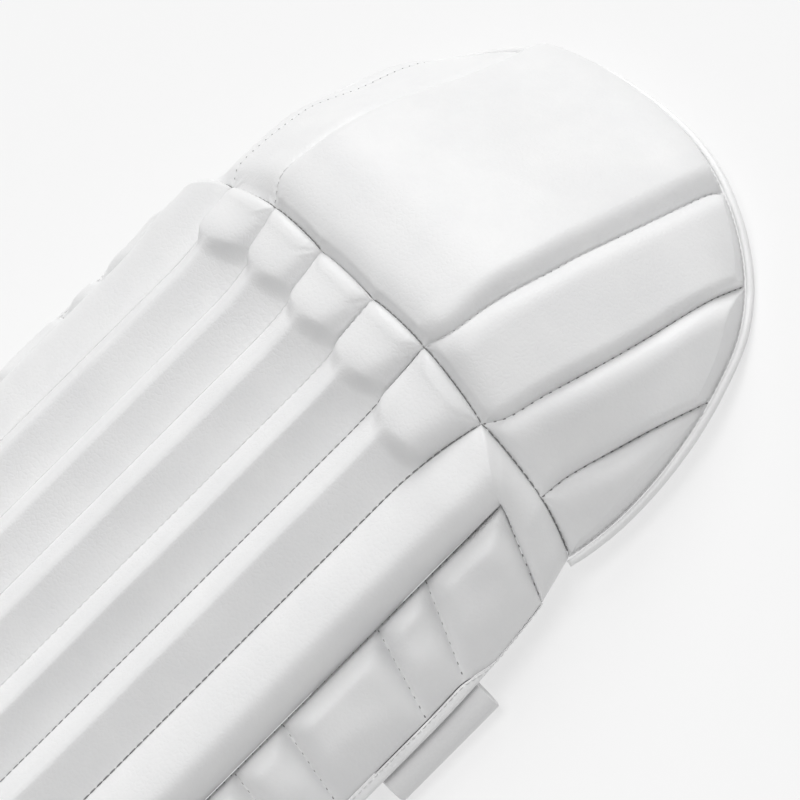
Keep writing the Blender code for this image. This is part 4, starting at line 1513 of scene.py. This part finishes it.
@dataclass
class Straps:
    """The calf strap and the ankle strap, which run from wing to wing behind the leg."""

    finishes: Finishes
    calf: Strap = Strap("calf_band", "calf_strap", 0.110, 0.056)
    ankle: Strap = Strap("ankle_band", "ankle_strap", 0.375, 0.036)
    calf_start: float = 0.62  # shares of the wing's width from its seam
    ankle_start: float = 0.45
    ankle_turn: float = 0.10
    ankle_floor: float = 0.6  # share of the turn's X where the ankle strap meets the floor
    thickness: float = 0.0025
    bulge: float = 0.0065
    rounding: float = 0.0015
    turn: float = 0.006
    wing_back: float = 0.003
    cover: float = 0.0025
    steps: int = 260
    edge_round: float = 0.0009
    edge_least: float = 0.15  # share of the thickness left at its edges

    def calf_path(self) -> Array:
        """Half of the calf strap's path, from under the wing to the floor."""
        inner, edge, down = self.calf.wing()
        half = self.thickness / 2
        clear = down * (self.cover + self.wing_back + SEAMS.gap + half)
        start = inner + (edge - inner) * self.calf_start + clear
        rim = edge + down * (self.cover + 2 * SEAMS.gap + half)
        reach = edge[0] + self.bulge - half
        rise = rim[2] - half
        return np.array(
            [
                start,
                rim,
                (reach - self.rounding, 0.0, half + 3 * rise / 4),
                (reach, 0.0, half + rise / 2),
                (reach - self.rounding, 0.0, half + rise / 4),
                (reach - self.turn, 0.0, half),
            ]
        )

    def ankle_path(self) -> Array:
        """Half of the ankle strap's path, which starts on the wing's back and runs down inside it."""
        inner, edge, down = self.ankle.wing()
        half = self.thickness / 2
        clear = down * (self.cover + self.wing_back + SEAMS.gap + half)
        start = inner + (edge - inner) * self.ankle_start + clear
        turn = inner + (edge - inner) * self.ankle_turn + clear
        floor = np.array([self.ankle_floor * turn[0], 0.0, half])
        return np.array([start, turn, (turn + floor) / 2, floor])

    def band(self, strap: Strap, path: Array) -> None:
        """Builds and dresses a strap.

        Args:
            strap: which one.
            path: half of its path.
        """
        whole = np.vstack([path, path[::-1] * MIRROR])
        length = lengths_along(whole)
        line = read_rows(np.linspace(0, length[-1], self.steps), length, whole[:, [0, 2]])
        kernel = np.hanning(7)[1:-1] / np.hanning(7)[1:-1].sum()
        for k in range(2):
            line[2:-2, k] = np.convolve(line[:, k], kernel, "valid")
        along = unit(np.gradient(line, axis=0))
        normal = np.stack([-along[:, 1], along[:, 0]], axis=-1)
        across = crowded(25, 0.85)
        edge = np.minimum(across, 1 - across) * strap.width
        bend = np.sqrt(1 - np.clip(1 - edge / self.edge_round, 0, 1) ** 2)
        half = self.thickness / 2 * np.minimum(1.0, bend + self.edge_least)
        y = SEAMS.knee_y - strap.drop + (across - 0.5) * strap.width
        top = np.empty((len(line), len(across), 3))
        low = np.empty_like(top)
        for grid, sign in ((top, 1), (low, -1)):
            shift = normal[:, None] * (sign * half)[None, :, None]
            grid[..., 0] = line[:, None, 0] + shift[..., 0]
            grid[..., 1] = y[None, :]
            grid[..., 2] = np.maximum(line[:, None, 1] + shift[..., 1], 0.0)
        rings = np.concatenate([top, low[:, ::-1]], axis=1)
        made = make_object(strap.piece, rings, ring_faces(*rings.shape[:2]))
        made.data.set_sharp_from_angle(angle=math.radians(50))
        dress(made, self.finishes.strap, "strap", strap.node)

    def build(self) -> None:
        """Builds both straps."""
        self.band(self.calf, self.calf_path())
        self.band(self.ankle, self.ankle_path())


@dataclass(frozen=True)
class Stitch:
    """A kind of mark along a seam: a stitch of thread, or a dark mark of painted shade in the dent of a
    needle.
    """

    pitch: float  # from one mark to the next
    length: float
    radius: float
    lift: float = 0.0  # how far its middle stands above the surface
    flatness: float = 0.7


@dataclass
class Stitching:
    """The rows of stitches along the seams."""

    finishes: Finishes
    rolls: ShinRolls
    side_rolls: SideRolls
    wings: Wings
    hat: Hat
    bindings: Bindings
    sides: int = 6
    thread_inset: float = 0.0007  # distances of the rows from their seams
    dent_inset: float = 0.0003
    on_seam: float = 0.0001
    roll_inset: float = 0.0006
    rim_inset: float = 0.0006
    binding_inset: float = 0.0008
    # slit, fine_dent and dent are dark marks of painted shade in the needle holes and the seams' creases
    slit: Stitch = Stitch(0.0038, 0.0031, 0.00030, 0.0002)
    fine_dent: Stitch = Stitch(0.0042, 0.0008, 0.00020, 0.0001)
    dent: Stitch = Stitch(0.0044, 0.0013, 0.00036, 0.0001)
    seam_thread: Stitch = Stitch(0.0038, 0.0029, 0.00034, 0.0002)
    arc_thread: Stitch = Stitch(0.0044, 0.0034, 0.00036, 0.0002)
    rim_thread: Stitch = Stitch(0.0031, 0.0022, 0.00032, 0.0002)

    def sew(self, name: str, line: Line, kind: Stitch, thread: bool, offset: float = 0.0) -> None:
        """Builds a row of marks.

        Args:
            name: the row's name.
            line: the line that it follows, on the surface.
            kind: the marks.
            thread: whether they are thread; otherwise they are dark marks of painted shade in the needle
                dents.
            offset: where the first one starts, as a share of the pitch.
        """
        length = lengths_along(line.points)
        centres = np.arange(kind.length + offset * kind.pitch, length[-1] - kind.length, kind.pitch)
        uneven = np.random.default_rng(len(name) * 7 + len(centres)).normal(size=(2, len(centres)))
        centres = centres + uneven[0] * kind.pitch * 0.03
        long = kind.length * (1 + 0.06 * uneven[1])
        along = np.array([-0.5, -0.42, -0.2, 0.2, 0.42, 0.5])
        full = np.array([0.25, 0.75, 1.0, 1.0, 0.75, 0.25])
        at = centres[:, None] + along[None] * long[:, None]
        points = read_rows(at, length, line.points)
        normals = unit(read_rows(at, length, line.normals))
        aside = unit(np.cross(unit(points[:, -1:] - points[:, :1]), normals))
        turn = np.linspace(0, 2 * math.pi, self.sides, endpoint=False)
        out = (kind.radius * full)[None, :, None, None]
        ring = (
            aside[:, :, None] * np.cos(turn)[None, None, :, None]
            + normals[:, :, None] * np.sin(turn)[None, None, :, None] * kind.flatness
        )
        middle = points + normals * (kind.lift - kind.radius * (1 - full) * kind.flatness)[None, :, None]
        places = middle[:, :, None] + ring * out
        places[..., 2] = np.maximum(places[..., 2], 0.0)
        count, rings = len(centres), len(along)
        index = np.arange(count * rings * self.sides).reshape(count, rings, self.sides)
        after = np.roll(index, -1, axis=2)
        quads = np.stack([index[:, :-1], index[:, 1:], after[:, 1:], after[:, :-1]], axis=-1).reshape(-1, 4)
        caps = index[:, 0].tolist() + index[:, -1, ::-1].tolist()
        made = make_object(name, places, quads.tolist() + caps)
        # marks that are not thread get the painted shade material
        dress(made, self.finishes.thread if thread else self.finishes.hole, "cover")

    def knee(self) -> None:
        """Sews the knee seam as a row of dark slits of painted shade, standing in for the shade in its
        crease.
        """
        row = SEAMS.knee_row()
        share = np.linspace(0, len(row.points) - 1, 400)
        order = np.arange(len(row.points))
        line = Line(read_rows(share, order, row.points), unit(read_rows(share, order, row.normals)))
        line.points[:, 1] += SEAMS.bow(line.points[:, 0])
        for side in Side:
            self.sew(f"knee_slits_{side.word}", side.turned(line), self.slit, False)

    def hat_seams(self) -> None:
        """Sews the hat's seams and its rim."""
        for side in Side:
            word = side.word
            for place, thread in (("inner", True), ("middle", False), ("outer", False)):
                pad = self.hat.pads[f"hat_panel_{word}_{place}"]
                if thread:
                    line = pad.along_left(self.thread_inset)
                    self.sew(f"hat_{word}_{place}_thread", line, self.seam_thread, True)
                    # dark dents of painted shade beside the thread
                    beside = pad.along_left(self.dent_inset)
                    self.sew(f"hat_{word}_{place}_dents", beside, self.fine_dent, False, 0.5)
                else:
                    # the middle and outer seams show only dark dents of painted shade
                    kind = self.dent if side is Side.RIGHT else self.fine_dent
                    self.sew(f"hat_{word}_{place}_dents", pad.along_left(self.on_seam), kind, False)
                along_rim = pad.along_right if place == "outer" else pad.along_last
                self.sew(f"rim_{word}_{place}_thread", along_rim(self.rim_inset), self.rim_thread, True)
        centre = self.hat.pads["hat_panel_centre"].along_last(self.rim_inset)
        self.sew("rim_centre_thread", centre, self.rim_thread, True)

    def shin_seams(self) -> None:
        """Sews the seams that show their stitches: thread on the fourth roll's left one, and dark slits of
        painted shade on both of the fifth.
        """
        fourth, fifth = self.rolls.pads[3:]
        self.sew("roll_4_thread", fourth.along_left(self.roll_inset), self.seam_thread, True)
        self.sew("roll_5_slits", fifth.along_left(self.on_seam), self.slit, False)
        self.sew("roll_5_right_slits", fifth.along_right(self.on_seam), self.slit, False)

    def wing_seams(self) -> None:
        """Sews the wings along the side rolls, across their cells and along their bindings."""
        for side in Side:
            word, pad = side.word, self.wings.pads[side]
            self.sew(f"wing_{word}_thread", pad.along_left(self.thread_inset), self.arc_thread, True)
            # dark dents of painted shade beside the thread
            self.sew(f"wing_{word}_dents", pad.along_left(self.dent_inset), self.fine_dent, False, 0.5)
            columns = np.linspace(0, pad.surface.shape[1] - 1, 120)
            for number, row in enumerate(self.wings.cell_rows):
                line = pad.read(np.full(len(columns), float(row)), columns)
                # the cross seams show only as dark dents of painted shade
                self.sew(f"wing_{word}_seam_{number}_dents", line, self.dent, False)
            binding = self.bindings.pads[side].along_left(self.binding_inset)
            self.sew(f"binding_{word}_thread", binding, self.rim_thread, True)

    def build(self) -> None:
        """Sews every seam."""
        self.knee()
        self.hat_seams()
        self.shin_seams()
        self.wing_seams()


@dataclass
class Studio:
    """The floor, the light and the camera."""

    target: tuple[float, float, float] = (0.0573, 0.11825, 0.066)
    azimuth_deg: float = 35.0
    tilt_deg: float = 1.2
    distance: float = 0.896
    lens: float = 96.75
    sky: float = 0.27
    overhead: float = 1.25
    side: float = 1.40

    def camera(self) -> None:
        """Sets the camera at the photo's angle, turned so that the leg runs up to the right."""
        azimuth, tilt = math.radians(self.azimuth_deg), math.radians(self.tilt_deg)
        back = np.array(
            [math.sin(azimuth) * math.cos(tilt), -math.sin(tilt), math.cos(azimuth) * math.cos(tilt)]
        )
        leg = unit(np.array([0.0, 1.0, 0.0]) - back * back[1])
        aside = np.cross(leg, back)
        right, up = (leg + aside) / math.sqrt(2), (leg - aside) / math.sqrt(2)
        place = np.array(self.target) + back * self.distance
        turned = Matrix(np.stack([right, up, back], axis=-1).tolist()).to_4x4()
        lens = bpy.data.cameras.new("studio_camera")
        lens.lens = self.lens
        lens.sensor_width = 36.0
        lens.clip_start, lens.clip_end = 0.05, 20.0
        camera = bpy.data.objects.new("studio_camera", lens)
        camera.matrix_world = Matrix.Translation(Vector(place)) @ turned
        bpy.context.scene.collection.objects.link(camera)
        bpy.context.scene.camera = camera

    def sun(self, name: str, towards: tuple[float, float, float], strength: float, spread_deg: float) -> None:
        """Adds a broad distant lamp.

        Args:
            name: its name.
            towards: the direction from the guard to the lamp.
            strength: its power on a facing surface.
            spread_deg: how wide the lamp looks from the guard.
        """
        lamp = bpy.data.lights.new(name, "SUN")
        lamp.energy = strength
        lamp.angle = math.radians(spread_deg)
        made = bpy.data.objects.new(name, lamp)
        made.rotation_euler = Vector(towards).to_track_quat("Z", "Y").to_euler()
        bpy.context.scene.collection.objects.link(made)

    def build(self) -> None:
        """Builds the studio."""
        self.camera()
        size = 6.0
        mesh = bpy.data.meshes.new("studio_floor")
        corners = [(-size, -size, 0.0), (size, -size, 0.0), (size, size, 0.0), (-size, size, 0.0)]
        mesh.from_pydata(corners, [], [(0, 1, 2, 3)])
        floor = bpy.data.objects.new("studio_floor", mesh)
        floor.data.materials.append(StudioFloor().make())
        bpy.context.scene.collection.objects.link(floor)
        self.sun("overhead_lamp", (0.0, 0.0, 1.0), self.overhead, 35.0)
        self.sun("side_lamp", (-0.55, 0.60, 0.58), self.side, 35.0)
        world = bpy.data.worlds.new("studio")
        world.use_nodes = True
        world.node_tree.nodes["Background"].inputs["Color"].default_value = (1.0, 1.0, 1.0, 1.0)
        world.node_tree.nodes["Background"].inputs["Strength"].default_value = self.sky
        bpy.context.scene.world = world
        bpy.context.scene.view_settings.view_transform = "Standard"


def main() -> None:
    """Builds the guard and the studio in order."""
    logging.basicConfig(level=logging.INFO, format="%(name)s: %(message)s")
    Studio().build()
    finishes = Finishes()
    rolls, side_rolls, wings = ShinRolls(finishes), SideRolls(finishes), Wings(finishes)
    hat, bindings = Hat(finishes), Bindings(finishes)
    for part in (rolls, side_rolls, wings, hat, Piping(finishes), bindings, Straps(finishes)):
        part.build()
    Stitching(finishes, rolls, side_rolls, wings, hat, bindings).build()


if __name__ == "__main__":
    main()
